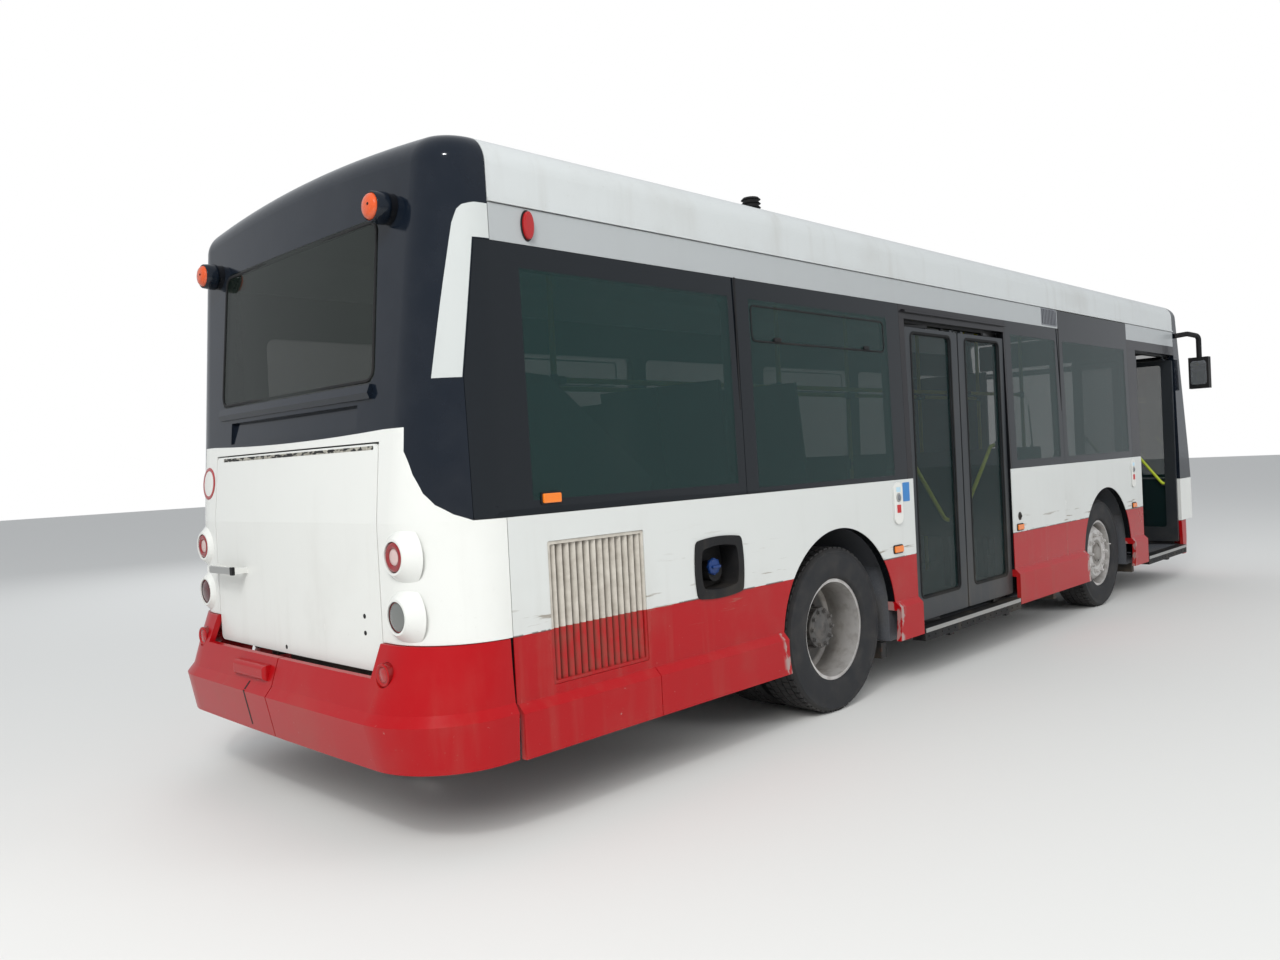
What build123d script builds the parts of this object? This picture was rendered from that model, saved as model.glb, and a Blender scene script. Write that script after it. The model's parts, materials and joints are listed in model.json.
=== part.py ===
from build123d import *
from math import asin, cos, degrees, radians, sin, sqrt
import os

# City bus, ten metres class, in millimetres.
# X points forward, Y to the left, Z up. The origin is on the ground at mid length and mid width.

# Body form
wall_y = 1200
roof_wall_y = 1180
rear_x = -4785
rear_top_x = -4670
front_x = 4925
front_top_x = 4690
front_lean_z = 1000
rear_bulge = 18
front_bulge = 70
rear_module_x = -4430
front_module_x = 4475
front_corner = 300
crown_z = 2920
roof_edge_z = 2850
roof_edge_radius = 130
wall_thickness = 55
inner_wall_y = wall_y - wall_thickness
glass_thickness = 8
panel_gap = 4

# Levels
split_z = 830
belt_z = 1315
window_top_z = 2430
gutter_z = 2585
body_bottom_z = 200
body_top_z = 3000
ledge_top_z = 560
ledge_bottom_z = 525
skirt_bottom_z = 300
rear_skirt_bottom_z = 340
skirt_y = 1235
skirt_thickness = 30
floor_z = 350
floor_thickness = 40
platform_z = 790

# Wheels and axles
rear_axle_x = -2030
front_axle_x = 2310
tyre_radius = 479
tyre_width = 275
tyre_tread_width = 244
wheel_z = tyre_radius
rim_flange_radius = 298.5
rim_seat_radius = 285
rim_width = 214
rim_wall = 10
front_wheel_y = 993
rear_outer_wheel_y = 1018
twin_spacing = 312
kingpin_y = 880
arch_radius = 590
wheel_box_y = 530
wheel_box_wall = 15
wheel_box_top_z = 1085
pin_gap = 1

# Doors
middle_door_rear_x = -1158
middle_door_front_x = 316
front_door_rear_x = 3260
front_door_front_x = front_module_x
portal_top_z = 2340
top_rail_joint = 1
leaf_thickness = 36
leaf_y = -1162
leaf_bottom_z = 385
leaf_top_z = 2290
leaf_jamb_gap = 9
leaf_meeting_gap = 8
leaf_trailing_border = 80
leaf_leading_border = 105
leaf_sill_border = 150
leaf_top_border = 38
post_radius = 16
post_behind_jamb = 25
post_y = -1100
roller_overhang = 75
roller_radius = 12
roller_gap = 8
roller_bracket = 14
roller_play = 0.5
roller_reach = 24
arm_thickness = 18
arm_width = 26
arm_gap = 7
header_bottom_z = leaf_top_z + 2 * arm_gap + arm_thickness + 3
header_inner_y = post_y + 25
header_depth = 80
header_height = 90
guide_height = 40
guide_joint = 0.5
door_pin_radius = 7

# Rear
flap_half_width = 787
flap_bottom_z = 706
flap_top_z = 1640
flap_gap = 7
flap_thickness = 36
mask_edge_z = 1665
rear_window_half_width = 750
rear_window_bottom_z = 1890
rear_window_top_z = 2580

os.makedirs("parts", exist_ok=True)


def save(piece, label):
    """Label one finished sub-part and write it."""
    piece.part.label = label
    export_step(piece.part, f"parts/{label}.step")


def wall_y_at(z):
    """Half width of the body's outer face at a height."""
    if z <= belt_z:
        return wall_y
    return wall_y - (wall_y - roof_wall_y) * (z - belt_z) / (gutter_z - belt_z)


def rear_x_at(z):
    """Rear face of the body at mid width, at a height."""
    if z <= belt_z:
        return rear_x
    return rear_x + (rear_top_x - rear_x) * (z - belt_z) / (gutter_z - belt_z)


def front_x_at(z):
    """Front face of the body at mid width, at a height."""
    if z <= front_lean_z:
        return front_x
    return front_x + (front_top_x - front_x) * (z - front_lean_z) / (gutter_z - front_lean_z)


def body_form(inset):
    """The whole body's rounded form, set in by a thickness on its sides, ends and roof."""
    with BuildPart() as form:
        for z in (body_bottom_z, front_lean_z, belt_z, gutter_z, body_top_z):
            half_width = wall_y_at(z) - inset
            rear = rear_x_at(z) + inset
            front = front_x_at(z) - inset
            with BuildSketch(Plane.XY.offset(z)) as outline:
                with BuildLine():
                    Line((rear + rear_bulge, -half_width), (front - front_bulge, -half_width))
                    ThreePointArc(
                        (front - front_bulge, -half_width), (front, 0), (front - front_bulge, half_width)
                    )
                    Line((front - front_bulge, half_width), (rear + rear_bulge, half_width))
                    ThreePointArc(
                        (rear + rear_bulge, half_width), (rear, 0), (rear + rear_bulge, -half_width)
                    )
                make_face()
                corners = outline.vertices().group_by(Axis.X)
                fillet(corners[0], rear_module_x - rear - rear_bulge)
                fillet(corners[-1], front_corner - inset)
        loft(ruled=True)
        with BuildSketch(Plane.YZ):
            with BuildLine():
                Line((-wall_y, body_bottom_z), (wall_y, body_bottom_z))
                Line((wall_y, body_bottom_z), (wall_y, roof_edge_z - inset))
                ThreePointArc(
                    (wall_y, roof_edge_z - inset), (0, crown_z - inset), (-wall_y, roof_edge_z - inset)
                )
                Line((-wall_y, roof_edge_z - inset), (-wall_y, body_bottom_z))
            make_face()
        extrude(amount=front_x + 100, both=True, mode=Mode.INTERSECT)
        crown = form.faces().sort_by(Axis.Z)[-1]
        fillet(crown.edges(), roof_edge_radius - inset)
    return form.part


outer_form = body_form(0)
glass_form = body_form(glass_thickness)
inner_form = body_form(wall_thickness)


with BuildPart() as skin:
    add(outer_form)
    add(inner_form, mode=Mode.SUBTRACT)

with BuildPart() as glass_layer:
    add(outer_form)
    add(glass_form, mode=Mode.SUBTRACT)

# The side glass ends at the rear corner in an edge that leans forward, along the white column
corner_glass_rear_x = -4575
corner_glass_top_x = -4505
column_bottom_z = 1879
with BuildPart() as corner_wedge:
    with BuildSketch(Plane.XZ):
        Polygon(
            (corner_glass_rear_x - 60, column_bottom_z), (corner_glass_rear_x, column_bottom_z),
            (corner_glass_top_x, window_top_z), (corner_glass_rear_x - 60, window_top_z), align=None,
        )
    extrude(amount=wall_y + 100, both=True)

# Side windows: glass sheet and the clear opening in the wall behind it
# columns: glass rear x, glass front x, glass top z, opening rear x, opening front x, opening bottom z
right_windows = [
    (corner_glass_rear_x, -2875, window_top_z, -4290, -2940, 1376),
    (-2875, -1222, window_top_z, -2770, -1380, 1345),
    (337, 1370, window_top_z, 440, 1290, 1376),
    (1370, 3030, gutter_z - panel_gap, 1450, 2940, 1376),
]
left_windows = [
    (corner_glass_rear_x, -2875, window_top_z, -4290, -2940, 1376),
    (-2875, -1222, window_top_z, -2770, -1300, 1376),
    (-1222, 337, window_top_z, -1140, 255, 1376),
    (337, 1970, window_top_z, 420, 1890, 1376),
    (1970, 3240, window_top_z, 2050, 3160, 1376),
    (3240, front_module_x - 30, window_top_z, 3330, 4350, 1376),
]
opening_top_z = 2330
seat_plane_y = 650
wheel_xs = (rear_axle_x, front_axle_x)


def window_cutter(windows, side):
    """Prisms through one wall: the openings, as deep as the wall and past it."""
    with BuildPart() as cutter:
        with BuildSketch(Plane.XZ.offset(-side * (wall_y - 200))):
            for _, _, _, x_rear, x_front, z_low in windows:
                with Locations(((x_rear + x_front) / 2, (z_low + opening_top_z) / 2)):
                    RectangleRounded(x_front - x_rear, opening_top_z - z_low, 60)
        extrude(amount=-side * 300)
    return cutter.part


def glass_seat(windows, side):
    """The rebate that all the glass sheets of one side lie in."""
    with BuildPart() as seat:
        add(glass_layer.part)
        with BuildSketch(Plane.XZ.offset(-side * seat_plane_y)):
            for x_rear, x_front, z_top, _, _, _ in windows:
                with Locations(((x_rear + x_front) / 2, (belt_z + z_top) / 2)):
                    Rectangle(x_front - x_rear, z_top - belt_z)
        extrude(amount=-side * seat_plane_y, mode=Mode.INTERSECT)
        add(corner_wedge.part, mode=Mode.SUBTRACT)
    return seat.part


def side_wall(windows, seat, side, portals):
    """One long wall from the rear module to the front one, with openings, glass seats and arches cut."""
    with BuildPart() as wall:
        add(skin.part)
        with BuildSketch(Plane.XZ.offset(-side * 900)):
            Polygon(
                (rear_module_x, ledge_top_z),
                (front_module_x - panel_gap, ledge_top_z),
                (front_module_x - panel_gap, gutter_z - panel_gap),
                (rear_module_x, gutter_z - panel_gap),
                align=None,
            )
        extrude(amount=-side * 400, mode=Mode.INTERSECT)
        add(window_cutter(windows, side), mode=Mode.SUBTRACT)
        add(seat, mode=Mode.SUBTRACT)
        with BuildSketch(Plane.XZ.offset(-side * 900)):
            for x in wheel_xs:
                with Locations((x, wheel_z)):
                    Circle(arch_radius)
            for x_rear, x_front in portals:
                with Locations(((x_rear + x_front) / 2, portal_top_z / 2)):
                    Rectangle(x_front - x_rear, portal_top_z)
        extrude(amount=-side * 400, mode=Mode.SUBTRACT)
    return wall


def side_glass(windows, side):
    """The glass sheets of one side, flush with the body and bent round the rear corner."""
    with BuildPart() as sheets:
        add(glass_layer.part)
        with BuildSketch(Plane.XZ.offset(-side * seat_plane_y)):
            for x_rear, x_front, z_top, _, _, _ in windows:
                with Locations(((x_rear + x_front) / 2, (belt_z + z_top) / 2)):
                    RectangleRounded(x_front - x_rear - panel_gap, z_top - belt_z - panel_gap, 12)
        extrude(amount=-side * seat_plane_y, mode=Mode.INTERSECT)
        add(corner_wedge.part.moved(Location((panel_gap / 2, 0, 0))), mode=Mode.SUBTRACT)
    return sheets


middle_portal = (middle_door_rear_x, middle_door_front_x)
front_portal = (front_door_rear_x, front_door_front_x)
right_seat = glass_seat(right_windows, -1)
left_seat = glass_seat(left_windows, 1)
right_wall = side_wall(right_windows, right_seat, -1, (middle_portal, front_portal))
# The radiator's air inlet and the fuel filler are cut through the right wall
grille_rear_x = -4230
grille_front_x = -3655
grille_bottom_z = 600
grille_top_z = 1200
filler_x = -3125
filler_z = 970
filler_width = 360
filler_height = 290
filler_corner = 60
filler_flange = 8
# columns: x, z of the two door control boxes
control_boxes = [(-1372, 1170), (3000, 1165)]
control_box_width = 104
control_box_height = 262
control_box_depth = 10
canopy_z = 2398
canopy_depth = 22
canopy_overhang = 18
with BuildPart() as pierced_wall:
    add(right_wall.part)
    with BuildSketch(Plane.XZ.offset(900)):
        with Locations(((grille_rear_x + grille_front_x) / 2, (grille_bottom_z + grille_top_z) / 2)):
            RectangleRounded(grille_front_x - grille_rear_x, grille_top_z - grille_bottom_z, 10)
        with Locations((filler_x, filler_z)):
            RectangleRounded(filler_width, filler_height, filler_corner)
    extrude(amount=400, mode=Mode.SUBTRACT)
    with BuildSketch(Plane.XZ.offset(wall_y)):
        for x, z in control_boxes:
            with Locations((x, z)):
                RectangleRounded(control_box_width, control_box_height, control_box_width / 2 - 5)
    extrude(amount=control_box_depth)
    lip_y = wall_y_at(canopy_z)
    with BuildSketch(Plane.YZ.offset(middle_door_rear_x - canopy_overhang)):
        Polygon((-lip_y + 30, canopy_z - 18), (-lip_y - canopy_depth, canopy_z - 18),
                (-lip_y - canopy_depth, canopy_z - 6), (-lip_y + 30, canopy_z + 14), align=None)
    extrude(amount=middle_door_front_x - middle_door_rear_x + 2 * canopy_overhang)
    # The top rail is a panel of its own, which crosses both portals and lies on the walls beside them
    with Locations((0, -wall_y, portal_top_z)):
        Box(2 * front_module_x, 300, top_rail_joint, align=(Align.CENTER, Align.CENTER, Align.MAX),
            mode=Mode.SUBTRACT)
save(pierced_wall, "right_wall")
left_wall = side_wall(left_windows, left_seat, 1, ())
save(left_wall, "left_wall")
with BuildPart() as side_glazing:
    add(side_glass(right_windows, -1).part)
    add(side_glass(left_windows, 1).part)
save(side_glazing, "side_glazing")

# Roof between the two end modules, with gutters over the walls and two low hatches
hatch_xs = (-2950, 1700)
hatch_length = 900
hatch_width = 760
hatch_height = 26
gutter_lip = 9
with BuildPart() as roof:
    add(skin.part)
    with BuildSketch(Plane.XZ):
        Polygon(
            (rear_module_x, gutter_z),
            (front_module_x - panel_gap, gutter_z),
            (front_module_x - panel_gap, crown_z + 50),
            (rear_module_x, crown_z + 50),
            align=None,
        )
    extrude(amount=wall_y + 100, both=True, mode=Mode.INTERSECT)
    for x in hatch_xs:
        with Locations((x, 0, crown_z - 20)):
            hatch = Box(hatch_length, hatch_width, 20 + hatch_height, align=(Align.CENTER, Align.CENTER, Align.MIN))
        fillet(hatch.faces().sort_by(Axis.Z)[-1].edges(), 15)
    for side in (-1, 1):
        with BuildSketch(Plane.YZ.offset(rear_module_x)):
            gutter_y = wall_y_at(gutter_z) - 1
            Polygon((side * (gutter_y - 20), gutter_z), (side * (gutter_y + gutter_lip), gutter_z),
                    (side * (gutter_y + gutter_lip), gutter_z + 12), (side * (gutter_y - 20), gutter_z + 16),
                    align=None)
        extrude(amount=front_module_x - panel_gap - rear_module_x)
save(roof, "roof")

# Rear module: fascia below, black mask above. The mask sweeps down at the corners to meet the side glass.
# columns: x, z, along the lower edge of the sweep from the side seam to the rear face
mask_sweep = [
    (rear_module_x - panel_gap, belt_z),
    (corner_glass_rear_x, belt_z),
    (-4640, belt_z + 28),
    (-4690, belt_z + 68),
    (-4716, belt_z + 115),
    (-4732, belt_z + 190),
    (-4740, belt_z + 285),
    (-4742, mask_edge_z + 30),
]
mask_sweep_y = 960
fascia_bottom_z = split_z + 3
lamp_y = 927
upper_lamp_z = 1184
lower_lamp_z = 946
lamp_radius = 62
blister_root_x = -4740
blister_root_radius = 130
blister_face_x = -4796
blister_face_radius = 72
marker_lamp_y = 832
marker_lamp_z = 2590
marker_lamp_radius = 84

with BuildPart() as mask_zone:
    with BuildSketch(Plane.XZ):
        Polygon(
            (rear_module_x - panel_gap, mask_edge_z + 30), (-4742, mask_edge_z + 30), (-4760, mask_edge_z),
            (-5000, mask_edge_z), (-5000, 3050), (rear_module_x - panel_gap, 3050), align=None,
        )
    extrude(amount=wall_y + 100, both=True)
    for side in (-1, 1):
        with BuildSketch(Plane.XZ.offset(side * mask_sweep_y)):
            Polygon(*mask_sweep, (rear_module_x - panel_gap, mask_edge_z + 30), align=None)
        extrude(amount=side * 300)

with BuildPart() as rear_fascia:
    add(skin.part)
    for side in (-1, 1):
        for z in (upper_lamp_z, lower_lamp_z):
            with Locations(Location((blister_root_x, side * lamp_y, z), (0, -90, 0))):
                Cone(blister_root_radius, blister_face_radius, blister_root_x - blister_face_x,
                     align=(Align.CENTER, Align.CENTER, Align.MIN))
    with BuildSketch(Plane.XZ):
        Polygon(
            (rear_module_x - panel_gap, fascia_bottom_z), (rear_module_x - panel_gap, mask_edge_z + 40),
            (-5000, mask_edge_z + 40), (-5000, fascia_bottom_z + 1), (-4780, fascia_bottom_z), align=None,
        )
    extrude(amount=wall_y + 100, both=True, mode=Mode.INTERSECT)
    add(mask_zone.part, mode=Mode.SUBTRACT)
    flap_rim = flap_half_width + flap_gap
    with BuildSketch(Plane.YZ.offset(-4500)):
        with Locations((0, flap_top_z / 2)):
            Rectangle(2 * flap_rim, flap_top_z + 2 * flap_gap)
        for y in (-lamp_y, lamp_y):
            for z in (upper_lamp_z, lower_lamp_z):
                with Locations((y, z)):
                    Circle(lamp_radius + 1)
    extrude(amount=-500, mode=Mode.SUBTRACT)
save(rear_fascia, "rear_fascia")

# White corner columns set flush in the mask, between the side glass and the rear window
column_top_z = 2573
column_zone = [
    (rear_module_x - panel_gap, column_top_z),
    (rear_module_x - panel_gap, window_top_z + panel_gap),
    (corner_glass_top_x - panel_gap, window_top_z + panel_gap),
    (corner_glass_rear_x - panel_gap, column_bottom_z),
    (-4760, column_bottom_z),
    (-4700, column_top_z),
]
# columns: half width, z, along the column's rear edge on the corner
column_edge = [
    (1073, column_bottom_z), (1084, 1987), (1103, 2179), (1119, 2333), (1134, 2487), (1145, 2541), (1155, 2560),
    (1173, column_top_z),
]
with BuildPart() as corner_columns:
    add(glass_layer.part)
    with BuildSketch(Plane.XZ):
        Polygon(*column_zone, align=None)
    extrude(amount=wall_y + 100, both=True, mode=Mode.INTERSECT)
    with BuildSketch(Plane.YZ.offset(-4900)):
        for side in (-1, 1):
            edge = [(side * y, z) for y, z in column_edge]
            Polygon(*edge, (side * 1400, column_top_z), (side * 1400, column_bottom_z), align=None)
    extrude(amount=600, mode=Mode.INTERSECT)
save(corner_columns, "corner_columns")

lip_half_width = 735
lip_low_z = 1822
scoop_half_width = 620
scoop_low_z = 1702
scoop_high_z = 1808
scoop_depth = 24
with BuildPart() as rear_mask:
    add(skin.part)
    add(mask_zone.part, mode=Mode.INTERSECT)
    lip_x = rear_x_at(lip_low_z)
    with BuildSketch(Plane.XZ):
        Polygon((lip_x + 40, lip_low_z), (lip_x - 6, lip_low_z + 6), (lip_x - 16, lip_low_z + 30),
                (lip_x - 2, rear_window_bottom_z - 3), (lip_x + 40, rear_window_bottom_z - 3), align=None)
    extrude(amount=lip_half_width, both=True)
    with BuildSketch(Plane.XZ):
        Polygon((lip_x - 60, scoop_low_z), (lip_x + 2, scoop_low_z), (lip_x + scoop_depth, scoop_high_z),
                (lip_x - 60, scoop_high_z), align=None)
    extrude(amount=scoop_half_width, both=True, mode=Mode.SUBTRACT)
    add(corner_columns.part, mode=Mode.SUBTRACT)
    add(right_seat, mode=Mode.SUBTRACT)
    add(left_seat, mode=Mode.SUBTRACT)
    with BuildSketch(Plane.YZ.offset(-4500)):
        with Locations((0, (rear_window_bottom_z + rear_window_top_z) / 2)):
            RectangleRounded(2 * rear_window_half_width, rear_window_top_z - rear_window_bottom_z, 60)
        for y in (-marker_lamp_y, marker_lamp_y):
            with Locations((y, marker_lamp_z)):
                Circle(marker_lamp_radius - 20)
    extrude(amount=-500, mode=Mode.SUBTRACT)
save(rear_mask, "rear_mask")

with BuildPart() as rear_window:
    add(glass_layer.part)
    with BuildSketch(Plane.YZ.offset(-4500)):
        with Locations((0, (rear_window_bottom_z + rear_window_top_z) / 2)):
            RectangleRounded(2 * rear_window_half_width, rear_window_top_z - rear_window_bottom_z, 60)
    extrude(amount=-500, mode=Mode.INTERSECT)
save(rear_window, "rear_window")

# Engine flap, with the handle that stands proud of its left edge
handle_z = 1078
with BuildPart() as engine_flap:
    add(outer_form)
    with BuildPart(mode=Mode.PRIVATE) as behind:
        add(body_form(flap_thickness))
    add(behind.part, mode=Mode.SUBTRACT)
    with BuildSketch(Plane.YZ.offset(-4500)):
        with Locations((0, (flap_bottom_z + flap_top_z) / 2)):
            RectangleRounded(2 * flap_half_width, flap_top_z - flap_bottom_z, 30)
    extrude(amount=-500, mode=Mode.INTERSECT)
    with BuildSketch(Plane.XY.offset(handle_z - 14)):
        with BuildLine():
            Polyline((-4775, 430), (-4845, 430), (-4845, 760), (-4775, 760), (-4775, 738), (-4823, 738),
                     (-4823, 452), (-4775, 452), close=True)
        make_face()
    extrude(amount=28)
save(engine_flap, "engine_flap")

# Front module: a panel below, a black mask in two mouldings round the windscreen and the destination glass
windscreen_bottom_z = 1080
windscreen_top_z = 2290
destination_bottom_z = 2350
destination_top_z = 2700
mask_joint = 2
front_glass_half_width = 1110
front_panel_top_z = 1040
front_bumper_top_z = 600
headlamp_y = 860
headlamp_z = 720
headlamp_radius = 75

with BuildPart() as front_panel:
    add(skin.part)
    with BuildSketch(Plane.XZ):
        Polygon(
            (front_module_x, front_bumper_top_z + panel_gap), (front_x + 100, front_bumper_top_z + panel_gap),
            (front_x + 100, front_panel_top_z), (front_module_x, front_panel_top_z), align=None,
        )
    extrude(amount=wall_y + 100, both=True, mode=Mode.INTERSECT)
    with BuildSketch(Plane.YZ.offset(4500)):
        for y in (-headlamp_y, headlamp_y):
            for step in (0, 1):
                with Locations((y - step * 190 * (1 if y > 0 else -1), headlamp_z)):
                    Circle(headlamp_radius + 1)
    extrude(amount=500, mode=Mode.SUBTRACT)
save(front_panel, "front_panel")

with BuildPart() as headlamps:
    for side in (-1, 1):
        for step in (0, 1):
            y = side * (headlamp_y - step * 190)
            lamp_face_x = front_x - front_bulge * (y / wall_y) ** 2 - (14 if step == 0 else 0)
            with BuildSketch(Plane.YZ.offset(lamp_face_x - 110)):
                with Locations((y, headlamp_z)):
                    Circle(headlamp_radius)
            extrude(amount=106)
save(headlamps, "headlamps")

with BuildPart() as front_mask:
    add(skin.part)
    with BuildSketch(Plane.XZ):
        Polygon(
            (front_module_x, front_panel_top_z + panel_gap), (front_x + 100, front_panel_top_z + panel_gap),
            (front_x + 100, 3050), (front_module_x, 3050), align=None,
        )
    extrude(amount=wall_y + 100, both=True, mode=Mode.INTERSECT)
    with BuildSketch(Plane.YZ.offset(4500)):
        for z_low, z_high in ((windscreen_bottom_z, windscreen_top_z), (destination_bottom_z, destination_top_z)):
            with Locations((0, (z_low + z_high) / 2)):
                RectangleRounded(2 * front_glass_half_width, z_high - z_low, 50)
    extrude(amount=600, mode=Mode.SUBTRACT)
    with Locations((front_x, 0, (windscreen_top_z + destination_bottom_z) / 2)):
        Box(1000, 3 * wall_y, mask_joint, mode=Mode.SUBTRACT)
save(front_mask, "front_mask")

with BuildPart() as windscreen:
    add(glass_layer.part)
    with BuildSketch(Plane.YZ.offset(4500)):
        for z_low, z_high in ((windscreen_bottom_z, windscreen_top_z), (destination_bottom_z, destination_top_z)):
            with Locations((0, (z_low + z_high) / 2)):
                RectangleRounded(2 * front_glass_half_width, z_high - z_low, 50)
    extrude(amount=600, mode=Mode.INTERSECT)
save(windscreen, "windscreen")

# Bumpers: lofts through a few plan outlines, hollow behind and below
# columns: height, half width, end face, corner radius
rear_bumper_sections = [
    (345, 1222, -4885, 370),
    (535, 1235, -4925, 400),
    (575, 1213, -4892, 380),
    (700, 1206, -4852, 370),
    (split_z, 1202, -4800, 350),
]
front_bumper_sections = [
    (250, 1205, 4880, 300),
    (420, 1205, 4925, 320),
    (front_bumper_top_z, 1200, 4925, 300),
]
bumper_wall = 30
bumper_lamp_y = 880
bumper_lamp_z = 720
bumper_lamp_radius = 48
bumper_seam_x = rear_module_x - 18
bumper_split_gap = 8
tow_cover_y = 215
tow_cover_z = 630


def bumper_form(sections, end, inset):
    """Loft of one bumper's outer form, set in by a thickness. The bulge in plan follows the body's."""
    bulge = rear_bulge if end < 0 else front_bulge
    with BuildPart() as form:
        for z, half_width, face_x, corner_radius in sections:
            face = face_x - end * inset
            root = end * 4300
            with BuildSketch(Plane.XY.offset(z)) as outline:
                with BuildLine():
                    Line((root, -half_width + inset), (face - end * bulge, -half_width + inset))
                    ThreePointArc(
                        (face - end * bulge, -half_width + inset), (face, 0),
                        (face - end * bulge, half_width - inset),
                    )
                    Line((face - end * bulge, half_width - inset), (root, half_width - inset))
                    Line((root, half_width - inset), (root, -half_width + inset))
                make_face()
                fillet(outline.vertices().group_by(Axis.X)[0 if end < 0 else -1], corner_radius - inset)
        loft(ruled=True)
    return form.part


inner_rear_sections = [(z - 1 if z == 345 else z, w, x, r) for z, w, x, r in rear_bumper_sections]
with BuildPart() as rear_bumper:
    add(bumper_form(rear_bumper_sections, -1, 0))
    add(bumper_form(inner_rear_sections, -1, bumper_wall), mode=Mode.SUBTRACT)
    with Locations((-5000, 0, flap_bottom_z - flap_gap)):
        Box(1000, 2 * (flap_half_width + flap_gap), 300, align=(Align.CENTER, Align.CENTER, Align.MIN),
            mode=Mode.SUBTRACT)
    with Locations((bumper_seam_x, 0, 0)):
        Box(400, 3000, 1000, align=(Align.MIN, Align.CENTER, Align.MIN), mode=Mode.SUBTRACT)
    with Locations((-4875, tow_cover_y, tow_cover_z)):
        tow_cover = Box(60, 330, 70)
    fillet(tow_cover.faces().sort_by(Axis.X)[0].edges(), 18)
    with Locations((-5000, 0, 0)):
        Box(1200, bumper_split_gap, 1000, align=(Align.CENTER, Align.CENTER, Align.MIN), mode=Mode.SUBTRACT)
    with BuildSketch(Plane.YZ.offset(-4700)):
        for side in (-1, 1):
            with Locations((side * bumper_lamp_y, bumper_lamp_z)):
                Circle(bumper_lamp_radius + 1)
    extrude(amount=-300, mode=Mode.SUBTRACT)
save(rear_bumper, "rear_bumper")

inner_front_sections = [(z - 1 if z == 250 else z, w, x, r) for z, w, x, r in front_bumper_sections]
with BuildPart() as front_bumper:
    add(bumper_form(front_bumper_sections, 1, 0))
    add(bumper_form(inner_front_sections, 1, bumper_wall), mode=Mode.SUBTRACT)
    with Locations((front_module_x, 0, 0)):
        Box(400, 3000, 1000, align=(Align.MAX, Align.CENTER, Align.MIN), mode=Mode.SUBTRACT)
save(front_bumper, "front_bumper")

# Rear lamps: four round lamps in the fascia, two in the bumper, two amber ones on pods in the mask
pod_root_x = -4700
with BuildPart() as rear_lamps:
    for side in (-1, 1):
        for z in (upper_lamp_z, lower_lamp_z):
            with BuildSketch(Plane.YZ.offset(-4690)):
                with Locations((side * lamp_y, z)):
                    Circle(lamp_radius)
            extrude(amount=-98)
        with BuildSketch(Plane.YZ.offset(-4640)) as pod_base:
            with Locations((side * marker_lamp_y, marker_lamp_z)):
                Circle(marker_lamp_radius - 21)
        extrude(amount=-60)
        for root_x, root, tip, length in ((pod_root_x, marker_lamp_radius - 21, 52, 30),
                                          (pod_root_x - 30, 50, 47, 22), (pod_root_x - 52, 47, 30, 13)):
            with Locations(Location((root_x, side * marker_lamp_y, marker_lamp_z), (0, -90, 0))):
                Cone(root, tip, length, align=(Align.CENTER, Align.CENTER, Align.MIN))
        with BuildSketch(Plane.YZ.offset(-4760)):
            with Locations((side * bumper_lamp_y, bumper_lamp_z)):
                Circle(bumper_lamp_radius)
        extrude(amount=-80)
save(rear_lamps, "rear_lamps")

# Skirts: flared panels below the ledge, cut round the arches
# columns: rear x, front x, bottom z
right_skirt_spans = [
    (rear_module_x + 6, -3622, rear_skirt_bottom_z),
    (-3618, rear_axle_x, rear_skirt_bottom_z),
    (rear_axle_x, middle_door_rear_x - 4, skirt_bottom_z + 20),
    (middle_door_front_x + 4, front_axle_x, skirt_bottom_z),
    (front_axle_x, front_door_rear_x - 4, skirt_bottom_z),
]
left_skirt_spans = [
    (rear_module_x + 6, -3622, rear_skirt_bottom_z),
    (-3618, rear_axle_x, rear_skirt_bottom_z),
    (rear_axle_x, 140, skirt_bottom_z),
    (144, front_axle_x, skirt_bottom_z),
    (front_axle_x, front_module_x - panel_gap, skirt_bottom_z),
]
with BuildPart() as skirts:
    for side, spans in ((-1, right_skirt_spans), (1, left_skirt_spans)):
        for x_rear, x_front, z_low in spans:
            with BuildSketch(Plane.YZ.offset(x_rear)):
                with BuildLine():
                    Polyline(
                        (side * (wall_y - 55), ledge_top_z), (side * wall_y, ledge_top_z),
                        (side * skirt_y, ledge_bottom_z), (side * skirt_y, z_low),
                        (side * (skirt_y - skirt_thickness), z_low),
                        (side * (skirt_y - skirt_thickness), ledge_bottom_z - 20),
                        (side * (wall_y - 55), ledge_bottom_z - 20), close=True,
                    )
                make_face()
            extrude(amount=x_front - x_rear)
    with BuildSketch(Plane.XZ):
        for x in wheel_xs:
            with Locations((x, wheel_z)):
                Circle(arch_radius)
    extrude(amount=wall_y + 100, both=True, mode=Mode.SUBTRACT)
save(skirts, "skirts")

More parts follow.
